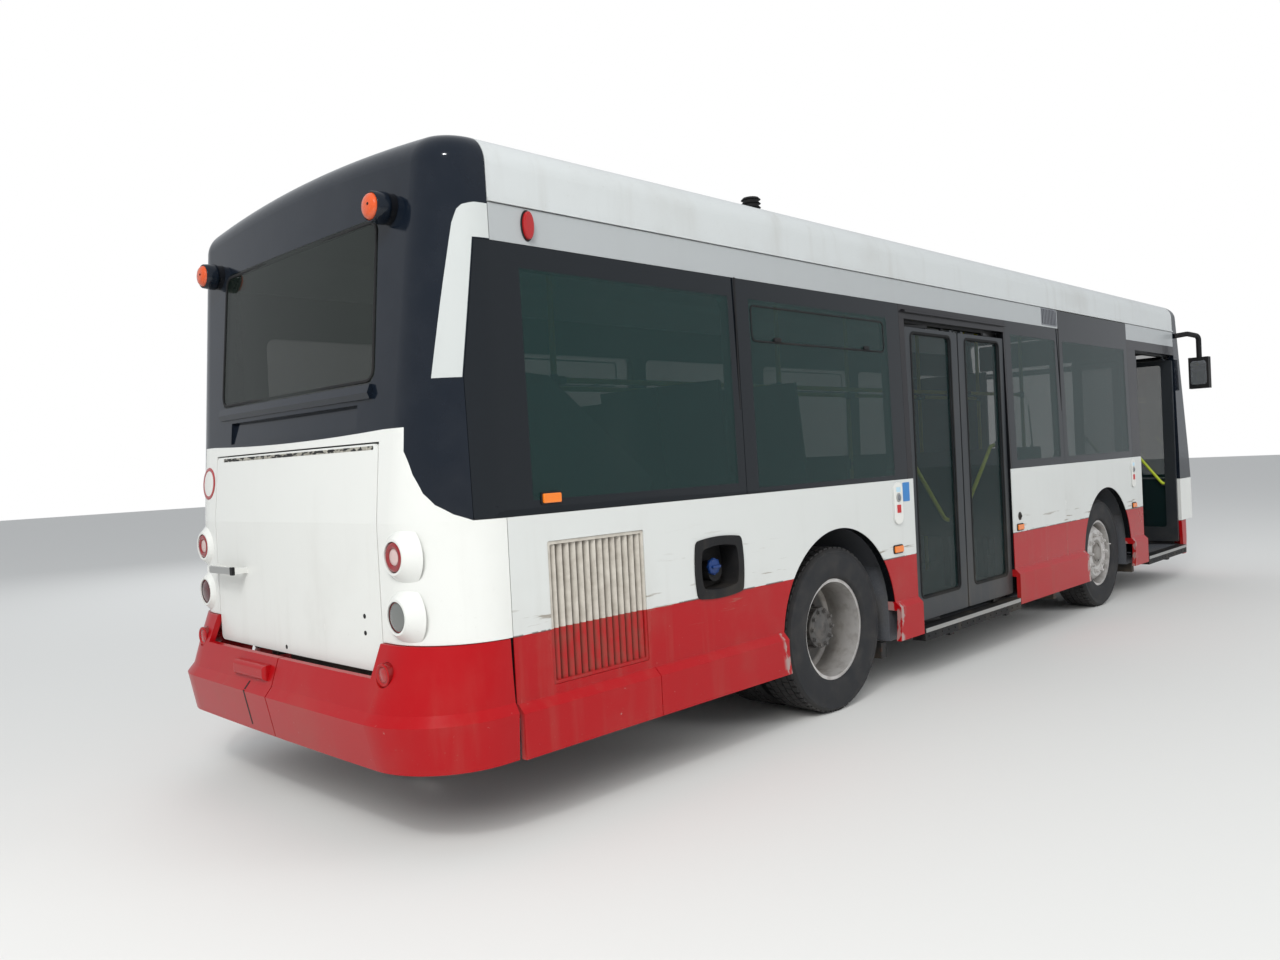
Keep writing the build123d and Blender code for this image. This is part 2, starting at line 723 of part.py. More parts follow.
# Side grille: a frame with upright curved louvres
louvre_count = 14
louvre_depth = 38
louvre_thickness = 6
grille_border = 14
grille_face_y = wall_y - 4
with BuildPart() as side_grille:
    grille_width = grille_front_x - grille_rear_x - 2
    grille_height = grille_top_z - grille_bottom_z - 2
    grille_x = (grille_rear_x + grille_front_x) / 2
    grille_z = (grille_bottom_z + grille_top_z) / 2
    with BuildSketch(Plane.XZ.offset(grille_face_y - 45)):
        with Locations((grille_x, grille_z)):
            RectangleRounded(grille_width, grille_height, 10)
            RectangleRounded(grille_width - 2 * grille_border, grille_height - 2 * grille_border, 6,
                             mode=Mode.SUBTRACT)
    extrude(amount=45)
    pitch = (grille_width - 2 * grille_border) / louvre_count
    with BuildSketch(Plane.XY.offset(grille_bottom_z + grille_border)):
        for i in range(louvre_count):
            x = grille_rear_x + grille_border + pitch * (i + 0.25)
            with BuildLine():
                l1 = ThreePointArc(
                    (x, -grille_face_y + louvre_depth), (x + pitch * 0.12, -grille_face_y + louvre_depth * 0.45),
                    (x + pitch * 0.55, -grille_face_y + 4),
                )
                l2 = Line(l1 @ 1, (x + pitch * 0.55 + louvre_thickness, -grille_face_y + 4 + louvre_thickness))
                l3 = ThreePointArc(
                    l2 @ 1,
                    (x + pitch * 0.12 + louvre_thickness, -grille_face_y + louvre_depth * 0.5),
                    (x + louvre_thickness, -grille_face_y + louvre_depth),
                )
                Line(l3 @ 1, l1 @ 0)
            make_face()
    extrude(amount=grille_height - 2 * grille_border)
save(side_grille, "side_grille")

# Fuel filler: a dished surround with the cap on its neck
filler_depth = 120
filler_bulge = 14


def barrel_sketch(plane, inset):
    """A rectangle whose sides bulge, with rounded corners, round the filler."""
    half_x = filler_width / 2 - inset
    half_z = filler_height / 2 - inset
    with BuildSketch(plane) as barrel:
        with BuildLine():
            left, right = filler_x - half_x + filler_bulge, filler_x + half_x - filler_bulge
            low, high = filler_z - half_z + filler_bulge, filler_z + half_z - filler_bulge
            ThreePointArc((left, low), (filler_x, low - filler_bulge), (right, low))
            ThreePointArc((right, low), (right + filler_bulge, filler_z), (right, high))
            ThreePointArc((right, high), (filler_x, high + filler_bulge), (left, high))
            ThreePointArc((left, high), (left - filler_bulge, filler_z), (left, low))
        make_face()
        fillet(barrel.vertices(), 30)
    return barrel.sketch


with BuildPart() as filler_recess:
    with BuildSketch(Plane.XZ.offset(wall_y)):
        with Locations((filler_x, filler_z)):
            RectangleRounded(filler_width - 2, filler_height - 2, filler_corner - 1)
    extrude(amount=-filler_depth)
    extrude(barrel_sketch(Plane.XZ.offset(wall_y), -filler_flange), amount=filler_flange)
    extrude(barrel_sketch(Plane.XZ.offset(wall_y + filler_flange), 36), amount=-filler_depth - filler_flange + 12,
            mode=Mode.SUBTRACT)
    with BuildSketch(Plane.XZ.offset(wall_y - filler_depth + 12)):
        with Locations((filler_x + 20, filler_z - 25)):
            Circle(52)
    extrude(amount=60)
save(filler_recess, "filler_recess")

# Door headers over the portals: a board, and under it end blocks and two strips that guide the rollers
guide_outer_y = post_y - roller_radius - roller_gap
guide_inner_y = post_y + roller_radius + roller_gap
board_bottom_z = header_bottom_z + guide_height
with BuildPart() as door_headers:
    for x_rear, x_front in (middle_portal, front_portal):
        rear_limit = x_rear - 70
        front_limit = min(x_front + 70, front_module_x + 60)
        guide_rear = x_rear + 30
        guide_front = x_front - 30
        header_outer_y = header_inner_y - header_depth
        block_top_z = board_bottom_z - guide_joint
        header_boards = [
            # rear x, front x, outer y, inner y, bottom z, top z
            (rear_limit, front_limit, header_outer_y, header_inner_y, board_bottom_z, header_bottom_z + header_height),
            (rear_limit, guide_rear, header_outer_y, header_inner_y, header_bottom_z, block_top_z),
            (guide_front, front_limit, header_outer_y, header_inner_y, header_bottom_z, block_top_z),
            (guide_rear + guide_joint, guide_front - guide_joint, header_outer_y, guide_outer_y,
             header_bottom_z, block_top_z),
            (guide_rear + guide_joint, guide_front - guide_joint, guide_inner_y, header_inner_y,
             header_bottom_z, block_top_z),
        ]
        for board_rear, board_front, outer_y, inner_y, low, high in header_boards:
            with Locations((board_rear, outer_y, low)):
                Box(board_front - board_rear, inner_y - outer_y, high - low,
                    align=(Align.MIN, Align.MIN, Align.MIN))
    add(inner_form, mode=Mode.INTERSECT)
save(door_headers, "door_headers")
with BuildPart() as door_sills:
    for x_rear, x_front in (middle_portal, front_portal):
        with Locations(((x_rear + x_front) / 2, -skirt_y, floor_z)):
            Box(x_front - x_rear - 8, skirt_y - inner_wall_y, 80, align=(Align.CENTER, Align.MIN, Align.MAX))
save(door_sills, "door_sills")

# Door leaves: columns are name, jamb x, direction from the jamb, width of the portal, turn of the posts
middle_width = middle_door_front_x - middle_door_rear_x
front_width = front_door_front_x - front_door_rear_x
door_table = [
    ("middle_door_rear", middle_door_rear_x, 1, middle_width, 0),
    ("middle_door_front", middle_door_front_x, -1, middle_width, 0),
    ("front_door_rear", front_door_rear_x, 1, front_width, 90),
    ("front_door_front", front_door_front_x, -1, front_width, 90),
]
post_offset = post_y - leaf_y


def door_sizes(portal_width):
    """Lengths measured from the post along a closed leaf: post to pivot, arm, trailing edge, leading edge."""
    leading = portal_width / 2 + post_behind_jamb - leaf_meeting_gap
    to_pivot = (leading - roller_overhang) / 2
    arm = sqrt(to_pivot**2 + post_offset**2)
    trailing = post_behind_jamb + leaf_jamb_gap
    return to_pivot, arm, trailing, leading


def make_leaf(name, jamb_x, direction, portal_width, open_turn):
    """One closed door leaf: its frame with handrail and roller, its glass, and its post with two arms."""
    to_pivot, arm, trailing, leading = door_sizes(portal_width)
    post_x = jamb_x - direction * post_behind_jamb
    pivot_x = post_x + direction * to_pivot
    roller_x = post_x + direction * 2 * to_pivot
    leaf_middle_x = post_x + direction * (trailing + leading) / 2
    leaf_width = leading - trailing
    leaf_height = leaf_top_z - leaf_bottom_z
    glass_low = leaf_bottom_z + leaf_sill_border
    glass_high = leaf_top_z - leaf_top_border
    glass_rear = trailing + leaf_trailing_border
    glass_front = leading - leaf_leading_border
    glass_x = post_x + direction * (glass_rear + glass_front) / 2
    with BuildPart() as leaf:
        with BuildSketch(Plane.XZ.offset(-leaf_y - leaf_thickness / 2)):
            with Locations((leaf_middle_x, leaf_bottom_z + leaf_height / 2)):
                RectangleRounded(leaf_width, leaf_height, 12)
            with Locations((glass_x, (glass_low + glass_high) / 2)):
                RectangleRounded(glass_front - glass_rear, glass_high - glass_low, 35, mode=Mode.SUBTRACT)
        extrude(amount=leaf_thickness)
        with Locations((pivot_x, leaf_y, leaf_bottom_z)):
            Cylinder(door_pin_radius, arm_gap + arm_thickness, align=(Align.CENTER, Align.CENTER, Align.MAX))
        with Locations((pivot_x, leaf_y, leaf_top_z)):
            Cylinder(door_pin_radius, arm_gap + arm_thickness, align=(Align.CENTER, Align.CENTER, Align.MIN))
        with Locations((roller_x, (leaf_y + post_y) / 2, leaf_top_z)):
            Box(30, post_offset + 2 * roller_radius, roller_bracket, align=(Align.CENTER, Align.CENTER, Align.MIN))
        # The roller turns on its bracket and runs between the header's guide strips
        with Locations((roller_x, post_y, header_bottom_z + roller_reach)):
            Cylinder(roller_radius, header_bottom_z + roller_reach - leaf_top_z - roller_bracket - roller_play,
                     align=(Align.CENTER, Align.CENTER, Align.MAX))
        rail_y = leaf_y + leaf_thickness / 2 + 45
        rail_low_x = post_x + direction * (glass_front - 15)
        rail_high_x = post_x + direction * (glass_rear + 10)
        with BuildLine() as rail_line:
            FilletPolyline(
                (rail_low_x, leaf_y + 10, 1000), (rail_low_x, rail_y, 1000),
                (rail_high_x, rail_y, 1500), (rail_high_x, leaf_y + 10, 1500), radius=30,
            )
        with BuildSketch(Plane(origin=rail_line.line @ 0, z_dir=rail_line.line % 0)):
            Circle(14)
        sweep(path=rail_line.line)
        with BuildSketch(Plane.XZ.offset(-leaf_y - leaf_thickness / 2)):
            for x, z in ((rail_low_x, 1000), (rail_high_x, 1500)):
                with Locations((x, z)):
                    Rectangle(60, 60)
        extrude(amount=8)
    with BuildPart() as pane:
        with BuildSketch(Plane.XZ.offset(-leaf_y - 4)):
            with Locations((glass_x, (glass_low + glass_high) / 2)):
                RectangleRounded(glass_front - glass_rear, glass_high - glass_low, 35)
        extrude(amount=8)
    with BuildPart() as post:
        with Locations((post_x, post_y, floor_z + 1)):
            Cylinder(post_radius, header_bottom_z - floor_z - 2, align=(Align.CENTER, Align.CENTER, Align.MIN))
        turn = degrees(asin(post_offset / arm)) * direction * -1
        if direction < 0:
            turn += 180
        for z in (leaf_bottom_z - arm_gap - arm_thickness, leaf_top_z + arm_gap):
            with BuildSketch(Plane((post_x, post_y, z), x_dir=(cos(radians(turn)), sin(radians(turn)), 0))):
                SlotCenterPoint((arm / 2, 0), (arm, 0), arm_width)
                with Locations((arm, 0)):
                    Circle(door_pin_radius + pin_gap, mode=Mode.SUBTRACT)
            extrude(amount=arm_thickness)
    # An open leaf has turned a quarter turn against its post, which carries its pivot inwards
    post_turn = Location((post_x, post_y, 0), (0, 0, direction * open_turn)) * Pos(-post_x, -post_y, 0)
    leaf_turn = (
        post_turn
        * Location((pivot_x, leaf_y, 0), (0, 0, -2 * direction * open_turn))
        * Pos(-pivot_x, -leaf_y, 0)
    )
    for piece, turn_by, kind in ((leaf, leaf_turn, "leaf"), (pane, leaf_turn, "glass"), (post, post_turn, "post")):
        with BuildPart() as placed:
            add(piece.part.moved(turn_by))
        save(placed, f"{name}_{kind}")


for row in door_table:
    make_leaf(*row)

# Wheels. Profiles are drawn above the axle line and revolved about it.
stud_circle_radius = 167.5
hub_flange_radius = 208
hub_radius = 110
hand_hole_radius = 20
hand_hole_circle = 238
front_disc_bulge = 84
tyre_facets = 36
spindle_radius = 42


def wheel_axis(x):
    """The axle line of the wheels at this X."""
    return Axis((x, 0, wheel_z), (0, 1, 0))


def at_radius(y, radius):
    """A point above the axle line, in a plane across the bus."""
    return (y, wheel_z + radius)


def tyre_ring(x, y, outline):
    """A ring of flat facets from a closed outline of (distance from the middle, radius). One facet lies flat below."""
    outside = 1 / cos(radians(180 / tyre_facets))
    rings = []
    for across, radius in outline:
        turns = [radians(360 / tyre_facets * (i + 0.5) - 90) for i in range(tyre_facets)]
        rings.append([
            Vector(x + radius * outside * cos(t), y + across, wheel_z + radius * outside * sin(t)) for t in turns
        ])
    facets = []
    for one, next_one in zip(rings, rings[1:] + rings[:1]):
        for i in range(tyre_facets):
            j = (i + 1) % tyre_facets
            facets.append(Face(Wire.make_polygon([one[i], one[j], next_one[j], next_one[i]])))
    return Solid(Shell(facets))


def make_tyre(name, x, centres):
    """One tyre, or the pair of a twin wheel."""
    bead = rim_width / 2 - 16
    half = tyre_width / 2
    outline = [
        (-bead, rim_seat_radius + 0.5), (-bead, rim_flange_radius + 2), (-half + 6, tyre_radius - 125),
        (-half + 2, tyre_radius - 60), (-tyre_tread_width / 2, tyre_radius - 10),
        (-tyre_tread_width / 2 + 16, tyre_radius), (tyre_tread_width / 2 - 16, tyre_radius),
        (tyre_tread_width / 2, tyre_radius - 10), (half - 2, tyre_radius - 60), (half - 6, tyre_radius - 125),
        (bead, rim_flange_radius + 2), (bead, rim_seat_radius + 0.5),
    ]
    with BuildPart() as tyre:
        for y in centres:
            add(tyre_ring(x, y, outline))
    save(tyre, f"{name}_tyre")


def make_rim(name, x, side, centres, disc_y, root_y, hub_y):
    """A rim or twin rims, the disc from the barrel to the hub flange, and the hub, bored for the spindle."""
    half = rim_width / 2
    with BuildPart() as rim:
        for y in centres:
            with BuildSketch(Plane.YZ.offset(x)):
                with BuildLine():
                    Polyline(
                        at_radius(y - half, rim_flange_radius), at_radius(y - half + 9, rim_flange_radius),
                        at_radius(y - half + 14, rim_seat_radius), at_radius(y + half - 14, rim_seat_radius),
                        at_radius(y + half - 9, rim_flange_radius), at_radius(y + half, rim_flange_radius),
                        at_radius(y + half, rim_seat_radius - rim_wall),
                        at_radius(y - half, rim_seat_radius - rim_wall), close=True,
                    )
                make_face()
            revolve(axis=wheel_axis(x))
        with BuildSketch(Plane.YZ.offset(x)):
            with BuildLine():
                Polyline(
                    at_radius(disc_y, hub_radius - 20), at_radius(disc_y, hub_flange_radius),
                    at_radius(root_y, rim_seat_radius - 6), at_radius(root_y - side * 16, rim_seat_radius - 6),
                    at_radius(disc_y - side * 14, hub_flange_radius - 10),
                    at_radius(disc_y - side * 14, hub_radius - 20), close=True,
                )
            make_face()
        revolve(axis=wheel_axis(x))
        with BuildSketch(Plane.YZ.offset(x)):
            with BuildLine():
                Polyline(
                    at_radius(hub_y, 0), at_radius(hub_y, 58), at_radius(hub_y - side * 18, 78),
                    at_radius(disc_y + side * 2, hub_radius), at_radius(disc_y - side * 150, hub_radius),
                    at_radius(disc_y - side * 150, 0), close=True,
                )
            make_face()
        revolve(axis=wheel_axis(x))
        with BuildSketch(Plane.XZ.offset(-disc_y - side * 150)):
            with Locations((x, wheel_z)):
                with PolarLocations(hand_hole_circle, 10, start_angle=18):
                    Circle(hand_hole_radius)
        extrude(amount=-side * 300, mode=Mode.SUBTRACT)
        with BuildSketch(Plane.XZ.offset(-disc_y)):
            with Locations((x, wheel_z)):
                with PolarLocations(stud_circle_radius, 10):
                    RegularPolygon(15, 6)
        extrude(amount=-side * 24)
        with Locations(Location((x, disc_y - side * 151, wheel_z), (-90 * side, 0, 0))):
            Cylinder(spindle_radius + pin_gap, 120, align=(Align.CENTER, Align.CENTER, Align.MIN),
                     mode=Mode.SUBTRACT)
    save(rim, f"{name}_rim")


def make_front_wheel(name, side):
    """Front wheel: the disc bulges outwards to the flange plane."""
    y = side * front_wheel_y
    disc_y = y + side * (rim_width / 2 - 12)
    make_tyre(name, front_axle_x, [y])
    make_rim(name, front_axle_x, side, [y], disc_y, disc_y - side * front_disc_bulge, disc_y + side * 4)


def make_rear_wheel(name, side):
    """Twin rear wheel on one body: the disc lies deep, with the hub standing out of it."""
    outer_y = side * rear_outer_wheel_y
    inner_y = outer_y - side * twin_spacing
    disc_y = (outer_y + inner_y) / 2 + side * 14
    root_y = disc_y + side * 40
    make_tyre(name, rear_axle_x, [outer_y, inner_y])
    make_rim(name, rear_axle_x, side, [outer_y, inner_y], disc_y, root_y, disc_y + side * 165)


for side_name, side in (("right", -1), ("left", 1)):
    make_front_wheel(f"front_{side_name}", side)
    make_rear_wheel(f"rear_{side_name}", side)

# Front knuckles turn on the kingpins at the ends of the axle beam
kingpin_radius = 24
kingpin_half_height = 95
knuckle_eye_height = 50
axle_beam_y = 560
axle_beam_low_z = 185
axle_beam_size = 90
front_disc_y = front_wheel_y + rim_width / 2 - 12
hub_back_y = front_disc_y - 150
for side_name, side in (("right", -1), ("left", 1)):
    with BuildPart() as knuckle:
        for z in (wheel_z - kingpin_half_height, wheel_z + kingpin_half_height - knuckle_eye_height):
            with BuildSketch(Plane.XY.offset(z)):
                with Locations((front_axle_x, side * kingpin_y)):
                    Circle(kingpin_radius + 26)
                with Locations((front_axle_x, side * (kingpin_y + 27))):
                    Rectangle(90, 50)
                with Locations((front_axle_x, side * kingpin_y)):
                    Circle(kingpin_radius + pin_gap, mode=Mode.SUBTRACT)
            extrude(amount=knuckle_eye_height)
        with Locations((front_axle_x, side * (kingpin_y + 40), wheel_z)):
            Box(90, 24, 2 * kingpin_half_height)
        with Locations(Location((front_axle_x, side * (kingpin_y + 50), wheel_z), (-90 * side, 0, 0))):
            Cylinder(spindle_radius, front_disc_y - kingpin_y - 90, align=(Align.CENTER, Align.CENTER, Align.MIN))
    save(knuckle, f"front_{side_name}_knuckle")

with BuildPart() as front_axle:
    with BuildSketch(Plane.YZ.offset(front_axle_x - axle_beam_size / 2)):
        with BuildLine():
            Polyline(
                (-kingpin_y + 70, wheel_z + 38), (-kingpin_y + 160, wheel_z + 38),
                (-axle_beam_y + 40, axle_beam_low_z + axle_beam_size),
                (axle_beam_y - 40, axle_beam_low_z + axle_beam_size), (kingpin_y - 160, wheel_z + 38),
                (kingpin_y - 70, wheel_z + 38), (kingpin_y - 70, wheel_z - 38), (kingpin_y - 190, wheel_z - 38),
                (axle_beam_y, axle_beam_low_z), (-axle_beam_y, axle_beam_low_z),
                (-kingpin_y + 190, wheel_z - 38), (-kingpin_y + 70, wheel_z - 38), close=True,
            )
        make_face()
    extrude(amount=axle_beam_size)
    boss_height = 2 * (kingpin_half_height - knuckle_eye_height) - 12
    for side in (-1, 1):
        with Locations((front_axle_x, side * kingpin_y, wheel_z)):
            Cylinder(kingpin_radius, 2 * kingpin_half_height + 10)
            Cylinder(kingpin_radius + 2, boss_height)
        with Locations((front_axle_x, side * (kingpin_y - 45), wheel_z)):
            Box(60, 90, boss_height)
save(front_axle, "front_axle")

rear_disc_y = rear_outer_wheel_y - twin_spacing / 2 + 14
rear_hub_back_y = rear_disc_y - 150
axle_tube_radius = 75
with BuildPart() as rear_axle:
    with Locations(Location((rear_axle_x, 0, wheel_z), (90, 0, 0))):
        Cylinder(axle_tube_radius, 2 * (rear_hub_back_y - 20))
        Cylinder(spindle_radius, 2 * (rear_hub_back_y + 100))
    with Locations((rear_axle_x, 0, wheel_z)):
        Sphere(190)
    with Locations(Location((rear_axle_x - 150, 0, wheel_z), (0, -90, 0))):
        Cone(110, 60, 220, align=(Align.CENTER, Align.CENTER, Align.MIN))
save(rear_axle, "rear_axle")

# Floor: low from the front to the middle door, two steps up to the platform over the rear axle,
# with boxes over the wheels
step_front_x = -1250
step_length = 150
platform_front_x = step_front_x - 2 * step_length
engine_bay_x = -3650
low_floor_front_x = 4700
box_half_length = arch_radius + wheel_box_wall
driver_floor_z = 560
driver_floor_y = 200
# The floor and the dashboard's foot stop short of the front bumper's round corners
with BuildPart() as front_corner_cutter:
    with BuildSketch():
        for side in (-1, 1):
            Polygon((4480, side * wall_y), (low_floor_front_x + 100, side * wall_y),
                    (low_floor_front_x + 100, side * 900), align=None)
    extrude(amount=front_bumper_top_z)
with BuildPart() as floor:
    with BuildSketch(Plane.XZ.offset(-inner_wall_y)):
        with BuildLine():
            step_z = floor_z + (platform_z - floor_z) / 3
            step_2_z = floor_z + 2 * (platform_z - floor_z) / 3
            Polyline(
                (low_floor_front_x, floor_z), (step_front_x, floor_z), (step_front_x, step_z),
                (step_front_x - step_length, step_z), (step_front_x - step_length, step_2_z),
                (platform_front_x, step_2_z), (platform_front_x, platform_z), (engine_bay_x, platform_z),
                (engine_bay_x, platform_z - floor_thickness), (platform_front_x - 40, platform_z - floor_thickness),
                (platform_front_x - 40, floor_z - floor_thickness),
                (low_floor_front_x, floor_z - floor_thickness), close=True,
            )
        make_face()
    extrude(amount=2 * inner_wall_y)
    for x in wheel_xs:
        for side in (-1, 1):
            with BuildSketch(Plane.XZ.offset(-side * wheel_box_y)):
                with Locations((x, 0)):
                    Rectangle(2 * box_half_length, wheel_box_top_z, align=(Align.CENTER, Align.MIN))
            extrude(amount=-side * (inner_wall_y - wheel_box_y), mode=Mode.SUBTRACT)
            low_z = floor_z - floor_thickness
            notch = []
            rear_low_z = low_z
            if x == rear_axle_x:
                rear_low_z = platform_z - floor_thickness
                notch = [(platform_front_x - 40, low_z), (platform_front_x - 40, rear_low_z)]
            with BuildSketch(Plane.XZ.offset(-side * (wheel_box_y - wheel_box_wall))):
                with BuildLine():
                    Polyline((x - box_half_length, rear_low_z), (x - box_half_length, wheel_z + 300),
                             (x - box_half_length + 280, wheel_box_top_z),
                             (x + box_half_length - 280, wheel_box_top_z), (x + box_half_length, wheel_z + 300),
                             (x + box_half_length, low_z), *notch, close=True)
                make_face()
            extrude(amount=-side * (inner_wall_y - wheel_box_y + wheel_box_wall))
            with BuildSketch(Plane.XZ.offset(-side * wheel_box_y)):
                with BuildLine():
                    low = box_half_length - wheel_box_wall
                    Polyline((x - low, 0), (x - low, wheel_z + 293), (x - low + 272, wheel_box_top_z - wheel_box_wall),
                             (x + low - 272, wheel_box_top_z - wheel_box_wall), (x + low, wheel_z + 293),
                             (x + low, 0), close=True)
                make_face()
            extrude(amount=-side * (inner_wall_y - wheel_box_y + 1), mode=Mode.SUBTRACT)
    with Locations((front_axle_x + box_half_length, driver_floor_y, floor_z)):
        Box(1150, inner_wall_y - driver_floor_y, driver_floor_z - floor_z,
            align=(Align.MIN, Align.MIN, Align.MIN))
    add(inner_form, mode=Mode.INTERSECT)
    add(front_corner_cutter.part, mode=Mode.SUBTRACT)
save(floor, "floor")

# Chassis: lower rails between the axles, upper rails over the rear axle, cross members and spring brackets
rail_y = 430
rail_width = 70
lower_rail_low_z = 215
upper_rail_low_z = 690
with BuildPart() as chassis:
    for side in (-1, 1):
        with Locations((platform_front_x - 40, side * rail_y, lower_rail_low_z)):
            Box(3300, rail_width, floor_z - floor_thickness - lower_rail_low_z,
                align=(Align.MIN, Align.CENTER, Align.MIN))
        with Locations((-4665, side * rail_y, platform_z - floor_thickness)):
            Box(4665 + platform_front_x - 40, rail_width, 110, align=(Align.MIN, Align.CENTER, Align.MAX))
        with Locations((platform_front_x - 40, side * rail_y, lower_rail_low_z)):
            Box(90, rail_width, platform_z - floor_thickness - lower_rail_low_z,
                align=(Align.MAX, Align.CENTER, Align.MIN))
        with Locations((2960, side * rail_y, lower_rail_low_z)):
            Box(1700, rail_width, floor_z - floor_thickness - lower_rail_low_z,
                align=(Align.MIN, Align.CENTER, Align.MIN))
    for x in (-1500, -600, 300, 1200, 3100, 4200):
        with Locations((x, 0, lower_rail_low_z)):
            Box(60, 2 * inner_wall_y - 20, floor_z - floor_thickness - lower_rail_low_z,
                align=(Align.CENTER, Align.CENTER, Align.MIN))
    for x, half_width in ((-4635, 700), (-2750, inner_wall_y - 10)):
        with Locations((x, 0, platform_z - floor_thickness)):
            Box(60, 2 * half_width, 80, align=(Align.CENTER, Align.CENTER, Align.MAX))
save(chassis, "chassis")

# Engine bay: a cover across the bus behind the platform, with a tower on the right over the radiator
cover_wall = 30
cover_width = 2270
tower_inner_y = -430
bay_rear_x = -4700
with BuildPart() as engine_cover:
    add(inner_form)
    with BuildSketch(Plane.XZ):
        with BuildLine():
            Polyline(
                (engine_bay_x, platform_z - floor_thickness), (engine_bay_x, 1200), (-4250, 1330), (-4540, 1700),
                (-4800, 1700), (-4800, 1700 - cover_wall), (-4526, 1700 - cover_wall),
                (-4236, 1330 - cover_wall), (engine_bay_x - cover_wall, 1200 - cover_wall),
                (engine_bay_x - cover_wall, platform_z - floor_thickness), close=True,
            )
        make_face()
    extrude(amount=cover_width / 2, both=True, mode=Mode.INTERSECT)
    with BuildPart(mode=Mode.PRIVATE) as tower:
        add(inner_form)
        with BuildSketch(Plane.XZ.offset(-tower_inner_y)):
            with BuildLine():
                Polyline(
                    (engine_bay_x, 1195), (engine_bay_x + 150, 1430), (-4120, 1900), (-4560, 1930), (-4560, 1690),
                    (-4540, 1700), (-4250, 1330), close=True,
                )
            make_face()
        extrude(amount=cover_width / 2 + tower_inner_y, mode=Mode.INTERSECT)
    add(tower.part)
save(engine_cover, "engine_cover")

with BuildPart() as engine_block:
    with Locations((-4600, 0, 420)):
        Box(850, 2 * rail_y - rail_width, 680, align=(Align.MIN, Align.CENTER, Align.MIN))
save(engine_block, "engine_block")

with BuildPart() as fuel_tank:
    with Locations((-3480, -1120, 380)):
        Box(680, 640, platform_z - floor_thickness - 380, align=(Align.MIN, Align.MIN, Align.MIN))
    fillet(fuel_tank.edges().filter_by(Axis.X), 60)
save(fuel_tank, "fuel_tank")

# Seats: columns are hip line x, middle y, height of the base, height of the support under the leg
seat_width = 430
seat_base_height = 430
seat_gap = 15
outer_seat_y = 910
inner_seat_y = outer_seat_y - seat_width - seat_gap
rear_base_z = platform_z + seat_base_height
low_base_z = floor_z + seat_base_height
seat_table = [
    (-3530, outer_seat_y, rear_base_z, platform_z),
    (-3530, inner_seat_y, rear_base_z, platform_z),
    (-2870, outer_seat_y, rear_base_z, platform_z),
    (-2870, inner_seat_y, rear_base_z, platform_z),
    (-2200, outer_seat_y, rear_base_z, wheel_box_top_z),
    (-2200, inner_seat_y, rear_base_z, platform_z),
    (-2870, -outer_seat_y, rear_base_z, platform_z),
    (-2870, -inner_seat_y, rear_base_z, platform_z),
    (-2200, -outer_seat_y, rear_base_z, wheel_box_top_z),
    (-2200, -inner_seat_y, rear_base_z, platform_z),
    (430, outer_seat_y, low_base_z, floor_z),
    (430, inner_seat_y, low_base_z, floor_z),
    (1120, outer_seat_y, low_base_z, floor_z),
    (1120, inner_seat_y, low_base_z, floor_z),
    (520, -outer_seat_y, low_base_z, floor_z),
    (520, -inner_seat_y, low_base_z, floor_z),
    (1150, -outer_seat_y, low_base_z, floor_z),
    (1150, -inner_seat_y, low_base_z, floor_z),
    (3340, 650, driver_floor_z + seat_base_height, driver_floor_z),
]
pad_gap = 0.5
with BuildPart() as seat_shells:
    for x, y, base_z, support_z in seat_table:
        with BuildSketch(Plane.XZ.offset(-y - seat_width / 2)):
            with BuildLine():
                Polyline((x - 20, base_z), (x + 430, base_z + 18), (x + 430, base_z + 40), (x + 5, base_z + 24),
                         (x - 85, base_z + 690), (x - 107, base_z + 690), close=True)
            make_face()
        extrude(amount=seat_width)
        with Locations((x + 190, y, support_z)):
            Box(70, 60, base_z + 12 - support_z, align=(Align.CENTER, Align.CENTER, Align.MIN))
save(seat_shells, "seat_shells")
with BuildPart() as seat_pads:
    for x, y, base_z, support_z in seat_table:
        with BuildSketch(Plane.XZ.offset(-y - seat_width / 2 + 18)):
            with BuildLine():
                Polyline((x + 62, base_z + 27), (x + 422, base_z + 40 + pad_gap), (x + 418, base_z + 75),
                         (x + 62, base_z + 68), close=True)
            make_face()
            with BuildLine():
                Polyline((x + 6, base_z + 42), (x + 48, base_z + 46), (x - 36, base_z + 672),
                         (x - 80, base_z + 668), close=True)
            make_face()
        extrude(amount=seat_width - 36)
save(seat_pads, "seat_pads")

# Driver's place: dashboard, steering wheel and the partition behind and beside the seat
dashboard_top_z = 1035
with BuildPart() as dashboard:
    add(inner_form)
    with BuildSketch(Plane.XZ):
        with BuildLine():
            Polyline((4130, 850), (4180, 1010), (4420, 1100), (4520, dashboard_top_z), (5000, dashboard_top_z),
                     (5000, 820), (4700, 820), (4700, floor_z), (4660, floor_z), (4640, 760), (4300, 760),
                     close=True)
        make_face()
    extrude(amount=wall_y, both=True, mode=Mode.INTERSECT)
    with Locations((4560, 190, 0)):
        Box(900, 2000, 1500, align=(Align.MAX, Align.MAX, Align.MIN), mode=Mode.SUBTRACT)
    add(front_corner_cutter.part, mode=Mode.SUBTRACT)
save(dashboard, "dashboard")
wheel_centre = (4030, 650, 1235)
column_foot = (4186, 650, 1020.5)
with BuildPart() as steering_wheel:
    with BuildLine() as column_line:
        Line(wheel_centre, column_foot)
    rake = Plane(origin=wheel_centre, x_dir=(0, 1, 0), z_dir=column_line.line % 0)
    with BuildSketch(rake):
        Circle(30)
    sweep(path=column_line.line)
    with BuildSketch(rake):
        Circle(225)
        Circle(196, mode=Mode.SUBTRACT)
        Rectangle(400, 34)
        Rectangle(34, 400)
    extrude(amount=22)
save(steering_wheel, "steering_wheel")

